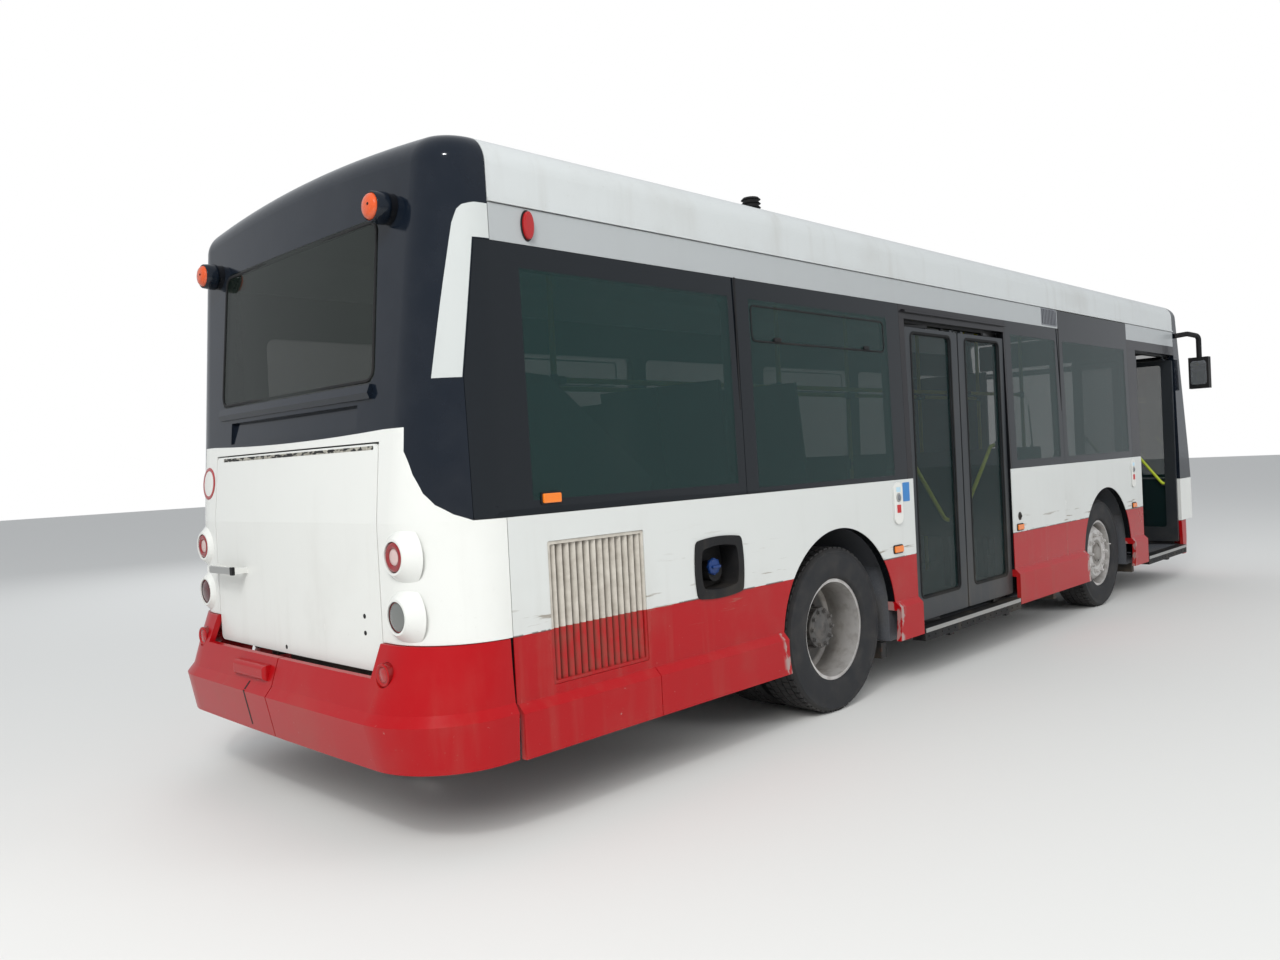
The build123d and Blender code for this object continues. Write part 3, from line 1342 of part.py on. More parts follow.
partition_x = 3010
with BuildPart() as cab_partition:
    with BuildSketch(Plane.XY.offset(driver_floor_z)):
        with BuildLine():
            Polyline((partition_x, inner_wall_y - 15), (partition_x, driver_floor_y), (3960, driver_floor_y),
                     (3960, driver_floor_y + 25), (partition_x + 25, driver_floor_y + 25),
                     (partition_x + 25, inner_wall_y - 15), close=True)
        make_face()
    extrude(amount=800)
    with Locations((partition_x, driver_floor_y, driver_floor_z + 800)):
        Box(25, inner_wall_y - driver_floor_y - 20, 900, align=(Align.MIN, Align.MIN, Align.MIN))
save(cab_partition, "cab_partition")

# Handrails: poles from floor to roof, with rails along the bus from pole to pole
# columns: x, height of the floor there
pole_radius = 17
pole_y = 228
handrail_z = 1985
pole_table = [(-3300, platform_z), (-1215, floor_z), (400, floor_z), (1640, floor_z), (2880, floor_z)]
rail_end_gap = 0.5
with BuildPart() as handrails:
    for side in (-1, 1):
        for x, foot_z in pole_table:
            with Locations((x, side * pole_y, foot_z)):
                Cylinder(pole_radius, crown_z - foot_z, align=(Align.CENTER, Align.CENTER, Align.MIN))
        for (behind_x, _), (ahead_x, _) in zip(pole_table, pole_table[1:]):
            rail_start = behind_x + pole_radius + rail_end_gap
            rail_length = ahead_x - pole_radius - rail_end_gap - rail_start
            with Locations(Location((rail_start, side * pole_y, handrail_z), (0, 90, 0))):
                Cylinder(pole_radius - 1, rail_length, align=(Align.CENTER, Align.CENTER, Align.MIN))
    add(inner_form, mode=Mode.INTERSECT)
save(handrails, "handrails")

# Mirrors on arms at the front corners
mirror_x = 4790
mirror_y = 1345
mirror_z = 2150
with BuildPart() as mirrors:
    for side in (-1, 1):
        with BuildLine() as arm_line:
            FilletPolyline(
                (4530, side * 1182, 2545), (4600, side * 1290, 2560), (mirror_x, side * mirror_y, 2540),
                (mirror_x, side * mirror_y, mirror_z + 140), radius=50,
            )
        with BuildSketch(Plane(origin=arm_line.line @ 0, z_dir=arm_line.line % 0)):
            Circle(26)
        sweep(path=arm_line.line)
        with Locations((mirror_x, side * mirror_y, mirror_z)):
            Box(95, 190, 330)
    add(outer_form, mode=Mode.SUBTRACT)
save(mirrors, "mirrors")

# Wipers lie on the windscreen
with BuildPart() as wipers:
    for side in (-1, 1):
        foot = Vector(4902, side * 720, 1063)
        elbow = Vector(front_x_at(1500), side * 500, 1500)
        with BuildLine() as wiper_line:
            Polyline(foot, elbow)
        with BuildSketch(Plane(origin=foot, z_dir=wiper_line.line % 0)):
            Circle(8)
        sweep(path=wiper_line.line)
        tip = Vector(front_x_at(1950), side * 500, 1950)
        low = Vector(front_x_at(1250), side * 500, 1250)
        with BuildLine() as blade_line:
            Polyline(low, tip)
        with BuildSketch(Plane(origin=low, z_dir=blade_line.line % 0)):
            Circle(9)
        sweep(path=blade_line.line)
save(wipers, "wipers")

# Ribbed breather stack on the roof
vent_x = -2395
vent_y = -950
vent_base_z = 2872
vent_radius = 45
vent_rib = 11
vent_rib_pitch = 23
vent_ribs = 4
with BuildPart() as roof_vent:
    with Locations((vent_x, vent_y, vent_base_z)):
        Cylinder(vent_radius, vent_rib_pitch * vent_ribs, align=(Align.CENTER, Align.CENTER, Align.MIN))
    for i in range(vent_ribs):
        with Locations((vent_x, vent_y, vent_base_z + vent_rib_pitch * (i + 0.5))):
            Cone(vent_radius + vent_rib, vent_radius - 1, vent_rib_pitch / 2,
                 align=(Align.CENTER, Align.CENTER, Align.MIN))
    add(outer_form, mode=Mode.SUBTRACT)
save(roof_vent, "roof_vent")
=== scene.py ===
# %% [markdown]
# The bus arrives as a frame of plain solids, already in its own axes: X forward, Y to the left, Z up.
# This file gives it paint, glass, rubber and small fittings. Everything stays within a few millimetres
# of the frame's box.

import json
import math

import bmesh
import bpy
from mathutils import Matrix, Vector
from mathutils.bvhtree import BVHTree

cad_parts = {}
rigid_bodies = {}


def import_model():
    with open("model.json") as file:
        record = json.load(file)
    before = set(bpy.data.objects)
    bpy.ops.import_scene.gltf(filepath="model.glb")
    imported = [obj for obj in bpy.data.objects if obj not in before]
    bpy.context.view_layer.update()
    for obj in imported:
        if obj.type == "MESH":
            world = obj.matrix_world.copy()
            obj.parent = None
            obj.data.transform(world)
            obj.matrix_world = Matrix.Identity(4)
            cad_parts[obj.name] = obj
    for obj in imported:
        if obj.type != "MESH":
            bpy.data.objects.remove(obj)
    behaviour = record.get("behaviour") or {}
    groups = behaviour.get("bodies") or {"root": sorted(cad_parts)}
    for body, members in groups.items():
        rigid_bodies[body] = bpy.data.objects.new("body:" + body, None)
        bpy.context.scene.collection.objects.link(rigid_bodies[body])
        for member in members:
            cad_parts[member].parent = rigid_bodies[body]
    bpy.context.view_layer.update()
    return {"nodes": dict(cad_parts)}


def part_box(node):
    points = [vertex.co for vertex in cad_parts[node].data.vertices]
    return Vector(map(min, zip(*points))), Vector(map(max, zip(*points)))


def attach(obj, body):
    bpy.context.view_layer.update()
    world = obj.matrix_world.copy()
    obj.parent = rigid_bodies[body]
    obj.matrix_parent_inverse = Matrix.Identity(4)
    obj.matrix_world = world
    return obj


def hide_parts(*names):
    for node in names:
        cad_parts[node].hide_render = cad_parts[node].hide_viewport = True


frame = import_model()
scene = bpy.context.scene

# %% [markdown]
# The photograph is taken from low down behind the right rear corner with a wide lens, and held a little
# crooked. Edges of the bus that run forward meet at one point of the picture, edges that run across it
# meet at another. Those two points and the picture's centre fix the lens and the turn of the camera,
# so the camera is set from them and not by eye.

# %% Camera
picture_width, picture_height = 1280, 960
focal_pixels = 977.35
forward_meeting = (1592.06, 412.77)
sideways_meeting = (-361.02, 512.41)
camera_place = Vector((-6.855, -4.32, 1.513))


def placed(name, data):
    """A new object in the scene."""
    made = bpy.data.objects.new(name, data)
    scene.collection.objects.link(made)
    return made


def rounded_values(values):
    """Short numbers for the notes that the cells print."""
    return [round(v, 3) for v in values]


def seen_direction(meeting):
    """A bus axis as the camera sees it: right, down, ahead."""
    across, down = meeting[0] - picture_width / 2, meeting[1] - picture_height / 2
    return Vector((across, down, focal_pixels)).normalized()


forward_seen = seen_direction(forward_meeting)
sideways_seen = seen_direction(sideways_meeting)
upward_seen = forward_seen.cross(sideways_seen).normalized()
axes_seen = Matrix((forward_seen, sideways_seen, upward_seen)).transposed()
turn = Matrix((axes_seen[0], -axes_seen[1], -axes_seen[2])).transposed().to_4x4()

camera_data = bpy.data.cameras.new("photo_camera")
camera_data.sensor_width = 36
camera_data.lens = focal_pixels / picture_width * camera_data.sensor_width
camera_data.clip_end = 200
camera = placed("photo_camera", camera_data)
camera.matrix_world = Matrix.Translation(camera_place) @ turn
scene.camera = camera
print("lens", round(camera_data.lens, 2), "mm, turned by", rounded_values(turn.to_euler()))

# %% [markdown]
# A studio for something ten metres long: one wide pale floor, a white surround that the camera sees at
# full strength, and large soft lamps. The surround lights the bus evenly, the lamps add shape.

# %% Surround
scene.view_settings.view_transform = "Standard"
world = bpy.data.worlds.new("surround")
scene.world = world
world.use_nodes = True
sky = world.node_tree
sky_light = sky.nodes["Background"]
sky_seen = sky.nodes.new("ShaderNodeBackground")
for shade, colour, strength in ((sky_light, (0.93, 0.96, 1.0, 1), 0.62), (sky_seen, (1, 1, 1, 1), 1.0)):
    shade.inputs["Color"].default_value = colour
    shade.inputs["Strength"].default_value = strength
ray = sky.nodes.new("ShaderNodeLightPath").outputs
seen_or_through = sky.nodes.new("ShaderNodeMath")
seen_or_through.operation = "MAXIMUM"
sky_mix = sky.nodes.new("ShaderNodeMixShader")
for output, socket in (
    (ray["Is Camera Ray"], seen_or_through.inputs[0]),
    (ray["Is Transmission Ray"], seen_or_through.inputs[1]),
    (seen_or_through.outputs[0], sky_mix.inputs["Fac"]),
    (sky_light.outputs[0], sky_mix.inputs[1]),
    (sky_seen.outputs[0], sky_mix.inputs[2]),
    (sky_mix.outputs[0], sky.nodes["World Output"].inputs["Surface"]),
):
    sky.links.new(output, socket)
print("surround:", len(sky.nodes), "nodes")

# %% Lamps and floor
def area_lamp(name, place, aim, size, power, tint=(1, 1, 1), mirrored=False):
    """A square soft lamp that points at a place. Large ones don't mirror in the glass."""
    data = bpy.data.lights.new(name, "AREA")
    data.shape = "SQUARE"
    data.size = size
    data.energy = power
    data.color = tint
    lamp = placed(name, data)
    lamp.location = place
    lamp.visible_glossy = mirrored
    lamp.rotation_euler = (Vector(aim) - Vector(place)).to_track_quat("-Z", "Y").to_euler()


area_lamp("key_lamp", (-12, -7, 9), (-2, 0, 1), 7, 1150, (1, 0.99, 0.97))
area_lamp("side_lamp", (4, -11, 6), (2, 0, 1), 7, 420)
area_lamp("far_lamp", (2, 11, 8), (0, 0, 1), 8, 380, (0.96, 0.98, 1))
area_lamp("spark_lamp", (-10, -5, 7.5), (-4.6, -1, 2.4), 0.7, 160, mirrored=True)

floor_reach = 60
corners = [(x * floor_reach, y * floor_reach, 0) for x, y in ((-1, -1), (1, -1), (1, 1), (-1, 1))]
floor_mesh = bpy.data.meshes.new("studio_floor")
floor_mesh.from_pydata(corners, [], [(0, 1, 2, 3)])
studio_floor = placed("studio_floor", floor_mesh)

# %% [markdown]
# Paint, rubber and glass are described with shader nodes. Wired by hand they are hard to read, so a
# small class wraps one socket and lets Python's own signs add the Math nodes: 1 - mask, or dirt * 0.3.
# Anything that isn't plain arithmetic goes through one method that takes the node's type, its settings
# and the values or links of its sockets. Geometry trees are built with the same classes further down.

# %% Classes for node expressions
def math_method(operation, swapped=False):
    """A method that adds one Math node to the tree."""
    def method(self, other=0.0):
        pair = (other, self) if swapped else (self, other)
        return self.graph.maths(operation, *pair)
    return method


class Wire:
    """One output of a node, usable in expressions. Over and under give 1 or 0."""

    __add__ = __radd__ = math_method("ADD")
    __sub__ = math_method("SUBTRACT")
    __rsub__ = math_method("SUBTRACT", swapped=True)
    __mul__ = __rmul__ = math_method("MULTIPLY")
    __abs__ = math_method("ABSOLUTE")
    over = math_method("GREATER_THAN")
    under = math_method("LESS_THAN")
    larger = math_method("MAXIMUM")

    def __init__(self, graph, socket):
        self.graph = graph
        self.socket = socket

    def ramp(self, low, high):
        """0 at low, 1 at high, smooth between. With low over high it falls."""
        return self.graph.node("ShaderNodeMapRange", {"interpolation_type": "SMOOTHSTEP"},
                               {"Value": self, "From Min": low, "From Max": high})


class Graph:
    """A node tree in the making."""

    def __init__(self, tree):
        self.tree = tree

    def node(self, kind, settings=None, inputs=None, output=0):
        """Adds one node and returns one of its outputs."""
        made = self.tree.nodes.new(kind)
        for key, value in (settings or {}).items():
            setattr(made, key, value)
        for key, value in (inputs or {}).items():
            self.feed(made.inputs[key], value)
        return None if output is None else Wire(self, made.outputs[output])

    def feed(self, socket, value):
        if isinstance(value, Wire):
            self.tree.links.new(value.socket, socket)
        elif isinstance(value, (tuple, list)) and len(value) == 3 and socket.type == "RGBA":
            socket.default_value = (*value, 1)
        else:
            socket.default_value = value

    def maths(self, operation, first, second=0.0):
        return self.node("ShaderNodeMath", {"operation": operation}, {0: first, 1: second})


print("a wire knows:", [name for name in vars(Wire) if not name.startswith("__")])

# %% [markdown]
# A material recipe reads its places in the bus's own axes, so that dirt, seams and colour levels lie
# right across neighbouring pieces. Colours are written as they look on a screen and turned into the
# linear values that shaders use.

# %% A class for materials
class Recipe(Graph):
    """A material in the making. Places are read in the bus's own axes."""

    def __init__(self, name):
        self.material = bpy.data.materials.new(name)
        self.material.use_nodes = True
        super().__init__(self.material.node_tree)
        self.tree.nodes.clear()
        self.place = self.node("ShaderNodeTexCoord", output="Object")
        split = self.tree.nodes.new("ShaderNodeSeparateXYZ")
        self.tree.links.new(self.place.socket, split.inputs[0])
        self.x, self.y, self.z = (Wire(self, s) for s in split.outputs)

    def mix(self, factor, first, second):
        """First colour where factor is 0, second where it is 1."""
        made = self.tree.nodes.new("ShaderNodeMix")
        made.data_type = "RGBA"
        self.feed(made.inputs["Factor"], factor)
        self.feed(made.inputs[6], first)
        self.feed(made.inputs[7], second)
        return Wire(self, made.outputs[2])

    def noise(self, scale, detail, stretch=(1, 1, 1), offset=(0, 0, 0)):
        """Cloudy values from 0 to 1. Stretch under 1 draws the clouds out along that axis."""
        laid = self.node("ShaderNodeMapping", None, {
            "Vector": self.place, "Scale": stretch, "Location": offset})
        return self.node("ShaderNodeTexNoise", None, {
            "Vector": laid, "Scale": scale, "Detail": detail, "Roughness": 0.55})

    def bump(self, height, strength, distance):
        return self.node("ShaderNodeBump", None, {
            "Height": height, "Strength": strength, "Distance": distance})

    def surface(self, **inputs):
        """Ends the material with a Principled surface. Underscores in the names stand for spaces."""
        surface = self.node("ShaderNodeBsdfPrincipled", None,
                            {key.replace("_", " "): value for key, value in inputs.items()})
        self.node("ShaderNodeOutputMaterial", None, {"Surface": surface}, None)
        return self.material


def seen(red, green, blue):
    """A colour as it looks on a screen, from 0 to 1, as the linear colour that shaders use."""
    return tuple(c / 12.92 if c <= 0.04045 else ((c + 0.055) / 1.055) ** 2.4 for c in (red, green, blue))


print("a mid grey of 0.5 is", round(seen(0.5, 0.5, 0.5)[0], 3), "in a shader")

# %% [markdown]
# The body is steel and glass fibre under a gloss coat: white above, red below a level line, dark
# between the windows, grey along the cantrail. Dust lies in clouds, thicker low down, and rain has drawn
# it into upright streaks. The wall solids are as thick as the real wall, so how deep a point lies under
# the outer face says whether it is paint, the black rebate behind the glass, or the cabin's lining.

# %% Levels and colours of the paint
split_z = 0.833
belt_z = 1.315
gutter_z = 2.585
window_top_z = 2.43
wall_y = 1.2
roof_wall_y = 1.18
white = seen(0.80, 0.81, 0.80)
rear_white = seen(0.85, 0.855, 0.84)
cantrail_grey = seen(0.64, 0.655, 0.66)
red = seen(0.63, 0.005, 0.045)
dust = seen(0.50, 0.46, 0.40)
lining_shade = seen(0.34, 0.35, 0.36)
near_black = seen(0.055, 0.06, 0.07)
frame_grey = seen(0.115, 0.112, 0.125)
front_end_x = 4.6
rear_axle_x = -2.03
front_axle_x = 2.31
wheel_z = 0.479
arch_radius = 0.61
scrape_z = 0.88
paint_depth = 0.0045
lining_depth = 0.052
print("the colours part at", split_z, "m, the window band ends at", window_top_z, "m")

# %% [markdown]
# Dust, scrapes and worn arches are masks from 0 to 1, made from noise times where they lie. They are
# functions, because several coats share them.

# %% Masks for dirt and wear

def wall_depth(recipe):
    """How far a point lies inside the body's side face, in metres."""
    lean = (wall_y - roof_wall_y) / (gutter_z - belt_z)
    return (recipe.z - belt_z).larger(0.0) * -lean + wall_y - abs(recipe.y)


def axle_distance(recipe):
    """Distance from the centre line of the nearer axle."""
    along = (recipe.x - rear_axle_x) - recipe.x.over(0) * (front_axle_x - rear_axle_x)
    height = recipe.z - wheel_z
    return recipe.maths("SQRT", along * along + height * height)


def dirt_clouds(recipe, low, high, strength):
    """Dust from 0 to 1: streaks and clouds that thicken from the height high down to low."""
    streaks = recipe.noise(5, 5, (1.6, 1.6, 0.14), offset=(3, 1, 0)).ramp(0.52, 0.80)
    clouds = recipe.noise(2.1, 6).ramp(0.46, 0.80)
    specks = recipe.noise(70, 3).ramp(0.66, 0.74)
    nearness = recipe.z.ramp(high, low)
    return ((streaks * 0.5 + clouds * 0.5) * (nearness * 0.85 + 0.15) + specks * nearness * 0.4) * strength


def scuffs(recipe):
    """Scrapes along the wall: short level strokes just over the colour split and round the filler."""
    strokes = recipe.noise(26, 4, (0.12, 1, 1.5), offset=(2, 7, 3)).ramp(0.60, 0.68)
    by_split = abs(recipe.z - scrape_z).ramp(0.10, 0.02)
    by_filler = abs(recipe.x + 3.1).ramp(0.55, 0.1) * abs(recipe.z - 0.93).ramp(0.30, 0.05)
    return strokes * by_split.larger(by_filler * 0.8)


def arch_wear(recipe):
    """Paint scraped off round the wheel arches and on the skirts' ends beside them."""
    near = abs(axle_distance(recipe) - arch_radius).ramp(0.045, 0.004)
    return near * recipe.noise(19, 5, (1, 1, 0.5), offset=(6, 1, 4)).ramp(0.50, 0.56)


print("scrapes lie", round(scrape_z - split_z, 3), "m over the split")

# %% [markdown]
# The walls get one coat that tells white, red, grey and dark apart by height, so that the borders are
# sharp without cutting the mesh. Every other painted piece has one colour under the same dust.

# %% Coach paint
def body_paint():
    """White over red coach paint with the wall's depth layers."""
    r = Recipe("body_paint_coat")
    depth = wall_depth(r)
    lower = r.z.under(split_z)
    cantrail = r.z.over(window_top_z) * r.z.under(gutter_z - 0.002)
    colour = r.mix(lower, r.mix(cantrail, white, cantrail_grey), red)
    window_band = r.z.over(belt_z) * r.z.under(window_top_z) * r.x.under(front_end_x)
    colour = r.mix(window_band, colour, frame_grey)
    dirt = dirt_clouds(r, 0.35, 1.4, 0.4)
    scuffed = scuffs(r)
    colour = r.mix(dirt.larger(scuffed * 0.8), colour, dust)
    edge = abs(r.z - split_z).under(0.004) * r.noise(9, 4).ramp(0.45, 0.5)
    colour = r.mix(edge * 0.7, colour, seen(0.24, 0.22, 0.21))
    behind_paint = r.mix(depth.over(paint_depth), colour, near_black)
    shown = r.mix(depth.over(lining_depth), behind_paint, lining_shade)
    peel = r.bump(r.noise(260, 2), 0.04, 0.0006)
    return r.surface(Base_Color=shown, Roughness=dirt * 0.35 + 0.24, Coat_Weight=(1 - dirt) * 0.12,
                     Specular_IOR_Level=0.25, Normal=peel)


def plain_paint(name, colour, dirt_strength=0.6, low=0.3, high=1.6, rough=0.24):
    """One gloss colour with dust."""
    r = Recipe(name)
    dirt = dirt_clouds(r, low, high, dirt_strength)
    chips = r.noise(38, 4, offset=(1, 2, 3)).ramp(0.70, 0.74) * r.z.ramp(0.75, 0.35)
    chips = chips.larger(arch_wear(r) * 1.6)
    shade = r.mix(dirt, colour, dust)
    shade = r.mix(chips * 0.5, shade, seen(0.62, 0.60, 0.58))
    return r.surface(Base_Color=shade, Roughness=dirt * 0.35 + rough, Coat_Weight=(1 - dirt) * 0.12,
                     Specular_IOR_Level=0.25, Normal=r.bump(r.noise(240, 2), 0.04, 0.0006))


body_coat = body_paint()
white_coat = plain_paint("white_coat", rear_white, 0.25, 0.6, 1.6)
roof_coat = plain_paint("roof_coat", seen(0.75, 0.765, 0.765), 0.3, 3.5, 3.6, 0.34)
column_coat = plain_paint("column_coat", seen(0.73, 0.745, 0.74), 0.2, 0.6, 1.6)
red_coat = plain_paint("red_coat", red, 0.35, 0.3, 0.9, 0.32)
print("paints:", body_coat.name, white_coat.name, red_coat.name)

# %% [markdown]
# The end masks, mirrors and door frames are black. The masks are polished and pick up a haze of dust,
# the mouldings are matt with a fine grain. One helper makes both.

# %% Black mouldings and masks
def black_moulding(name, colour, rough, coat, grain, dirt_strength):
    """A black part: gloss or matt, with a grain and dust."""
    r = Recipe(name)
    dirt = dirt_clouds(r, 0.3, 2.2, dirt_strength)
    haze = r.noise(6, 4, offset=(5, 0, 2)).ramp(0.35, 0.8)
    shade = r.mix(dirt, r.mix(haze * 0.12, colour, seen(0.20, 0.21, 0.23)), dust)
    return r.surface(Base_Color=shade, Roughness=dirt * 0.4 + haze * 0.08 + rough,
                     Coat_Weight=(1 - dirt) * coat, Specular_IOR_Level=0.25,
                     Normal=r.bump(r.noise(420, 2), grain, 0.0008))


mask_black = black_moulding("mask_black", seen(0.055, 0.085, 0.125), 0.10, 0.22, 0.02, 0.08)
matt_black = black_moulding("matt_black", seen(0.10, 0.10, 0.105), 0.55, 0.0, 0.25, 0.45)
frame_black = black_moulding("frame_black", seen(0.08, 0.08, 0.085), 0.34, 0.1, 0.06, 0.3)
cover_grey = black_moulding("cover_grey", seen(0.20, 0.21, 0.23), 0.5, 0.0, 0.2, 0.2)
panel_grey = black_moulding("panel_grey", seen(0.47, 0.48, 0.50), 0.42, 0.0, 0.15, 0.15)
print("black parts:", mask_black.name, matt_black.name, frame_black.name)

# %% [markdown]
# The side glass is one flush band. Each sheet is clear only in its middle, inside a border of black
# enamel that hides the wall and the glue. A table holds the clear rectangles, and a mask made from them
# mixes black enamel with green tinted glass.

# %% Glass
clear_top_z = 2.33
right_clear = [
    # rear x, front x, bottom z
    (-4.29, -2.94, 1.376), (-2.77, -1.38, 1.345), (0.44, 1.29, 1.376), (1.45, 2.94, 1.376),
]
left_clear = [
    (-4.29, -2.94, 1.376), (-2.77, -1.30, 1.376), (-1.14, 0.255, 1.376), (0.42, 1.89, 1.376),
    (2.05, 3.16, 1.376), (3.33, 4.35, 1.376),
]


def between(wire, low, high):
    """1 from low to high, with soft edges 4 mm wide."""
    half = (high - low) / 2
    return abs(wire - (low + high) / 2).ramp(half + 0.002, half - 0.002)


def clear_zone(recipe, zones):
    """1 inside any of the zones."""
    total = None
    for x_rear, x_front, z_low in zones:
        zone = between(recipe.x, x_rear, x_front) * between(recipe.z, z_low, clear_top_z)
        total = zone if total is None else total.larger(zone)
    return total


def tinted_glass(name, tint, opacity, zones=None):
    """A sheet that lets light through by its alpha, with polished black enamel outside its clear zones."""
    r = Recipe(name)
    film = r.noise(1.7, 4, (1, 1, 0.6)).ramp(0.45, 0.95)
    alpha = film * 0.06 + opacity
    colour = r.mix(film * 0.10, tint, seen(0.30, 0.32, 0.30))
    if zones:
        right, left = zones
        mask = clear_zone(r, right) * r.y.under(0) + clear_zone(r, left) * r.y.over(0)
        alpha = 1 - mask * (1 - alpha)
        colour = r.mix(mask, seen(0.06, 0.08, 0.10), colour)
    made = r.surface(Base_Color=colour, Roughness=film * 0.05 + 0.02, Alpha=alpha, IOR=1.45)
    made.surface_render_method = "BLENDED"
    return made


side_glass = tinted_glass("side_glass", seen(0.09, 0.19, 0.185), 0.60, (right_clear, left_clear))
rear_glass = tinted_glass("rear_glass", seen(0.10, 0.13, 0.11), 0.60)
door_glass = tinted_glass("door_glass", seen(0.09, 0.17, 0.17), 0.42)
print("glass with", len(right_clear) + len(left_clear), "clear zones")

# %% [markdown]
# Tyres are dusty, and greyer on the tread. Rims are steel with silver paint, browned by brake dust
# inside the barrel. Both patterns are rings round the axle, so they read the distance from the nearer
# axle's centre line.

# %% Wheels' rubber and steel
tyre_radius = wheel_z


def tyre_rubber():
    r = Recipe("tyre_rubber")
    distance = axle_distance(r)
    dusty = r.noise(9, 5).ramp(0.35, 0.75)
    ring = r.maths("SINE", distance * 900)
    wall = distance.ramp(tyre_radius - 0.012, tyre_radius - 0.03)
    colour = r.mix(dusty * 0.45, seen(0.15, 0.155, 0.165), seen(0.29, 0.28, 0.27))
    colour = r.mix((1 - wall) * 0.3, colour, seen(0.26, 0.25, 0.24))
    rough = dusty * 0.15 + 0.70
    height = ring * wall * 0.35 + r.noise(120, 3) * 0.6
    return r.surface(Base_Color=colour, Roughness=rough, Specular_IOR_Level=0.35,
                     Normal=r.bump(height, 0.3, 0.0015))


def rim_steel():
    """Silver paint, browned inside the barrel, and grey with brake dust and oil on the rear hub."""
    r = Recipe("rim_silver")
    distance = axle_distance(r)
    hub_end = r.x.under(0) * distance.ramp(0.262, 0.238)
    centre = distance.ramp(0.13, 0.11)
    patches = r.noise(14, 5).ramp(0.42, 0.72)
    barrel = abs(r.y).ramp(1.12, 0.95) * distance.over(0.24)
    colour = r.mix(barrel * 0.55, seen(0.82, 0.81, 0.80), seen(0.45, 0.42, 0.38))
    colour = r.mix(patches * 0.35, colour, seen(0.42, 0.38, 0.33))
    oily = r.mix(patches, seen(0.20, 0.195, 0.19), seen(0.33, 0.315, 0.30))
    colour = r.mix(hub_end * 0.93, colour, oily)
    colour = r.mix(centre * r.x.over(0) * 0.6, colour, seen(0.40, 0.37, 0.33))
    return r.surface(Base_Color=colour, Metallic=0.55 - hub_end * 0.45, Roughness=patches * 0.2 + 0.40,
                     Normal=r.bump(r.noise(90, 3), 0.12, 0.001))


tyre = tyre_rubber()
rim_silver = rim_steel()

# %% [markdown]
# Below the floor everything wears black underseal with road dirt and rust over it. The castings of the
# axles are rougher than the rails.

# %% Underside
def underside_steel(name, colour, grain):
    r = Recipe(name)
    mud = r.noise(4, 6).ramp(0.40, 0.72)
    rust = r.noise(17, 5, offset=(9, 4, 1)).ramp(0.60, 0.75)
    shade = r.mix(mud * 0.7, colour, seen(0.36, 0.32, 0.27))
    shade = r.mix(rust * 0.5, shade, seen(0.33, 0.19, 0.12))
    return r.surface(Base_Color=shade, Roughness=mud * 0.15 + 0.62,
                     Normal=r.bump(r.noise(75, 4), grain, 0.002))


underseal = underside_steel("underseal", seen(0.12, 0.12, 0.12), 0.35)
cast_iron = underside_steel("cast_iron", seen(0.19, 0.18, 0.17), 0.6)
print("wheels and underside:", tyre.name, rim_silver.name, underseal.name, cast_iron.name)

# %% [markdown]
# The cabin shows through the glass and through the open front door: speckled grey floor covering, seats
# in dark blue cloth on plastic shells, and yellow-green coated tubes.

# %% Cabin finishes
def floor_vinyl():
    r = Recipe("floor_vinyl")
    specks = r.noise(420, 1).ramp(0.60, 0.66)
    worn = r.noise(3, 4).ramp(0.4, 0.8)
    colour = r.mix(specks * 0.7, seen(0.30, 0.31, 0.33), seen(0.55, 0.56, 0.57))
    colour = r.mix(worn * 0.4, colour, seen(0.38, 0.35, 0.31))
    return r.surface(Base_Color=colour, Roughness=0.6 - worn * 0.1)


def seat_cloth():
    """A flat woven cloth: fine rows two ways, dark blue with paler flecks."""
    r = Recipe("seat_cloth")
    warp = r.maths("SINE", r.y * 2600)
    weft = r.maths("SINE", (r.x + r.z) * 2600)
    flecks = r.noise(60, 2).ramp(0.56, 0.62)
    colour = r.mix(flecks, seen(0.12, 0.17, 0.33), seen(0.30, 0.34, 0.46))
    return r.surface(Base_Color=colour, Roughness=0.9, Sheen_Weight=0.35,
                     Normal=r.bump(warp * weft, 0.25, 0.0008))


def coated_tube(name, colour, rough=0.35):
    r = Recipe(name)
    worn = r.noise(24, 4).ramp(0.55, 0.8)
    return r.surface(Base_Color=r.mix(worn * 0.4, colour, seen(0.45, 0.42, 0.33)),
                     Roughness=worn * 0.2 + rough)


def bright_metal(name, colour, rough):
    r = Recipe(name)
    streaks = r.noise(30, 3, (0.1, 1, 1))
    return r.surface(Base_Color=colour, Metallic=0.85, Roughness=streaks * 0.15 + rough)


vinyl = floor_vinyl()
cloth = seat_cloth()
yellow_tube = coated_tube("yellow_tube", seen(0.74, 0.72, 0.16))
aluminium = bright_metal("aluminium", seen(0.74, 0.74, 0.73), 0.3)
print("cabin:", vinyl.name, cloth.name, yellow_tube.name)

# %% [markdown]
# Lamp glass is coloured plastic with fine ribs inside. The frame's lamp bodies are one node, so their
# colour follows from where they stand: black for the pods on the roof corners, red below.

# %% Lamps
def rear_lamp_lens():
    """Lamp bodies: black pods on the roof corners, red below."""
    r = Recipe("rear_lamp_lens")
    colour = r.mix(r.z.over(2.3), seen(0.50, 0.03, 0.04), seen(0.05, 0.055, 0.07))
    return r.surface(Base_Color=colour, Roughness=r.noise(30, 2) * 0.1 + 0.15, Coat_Weight=0.4)


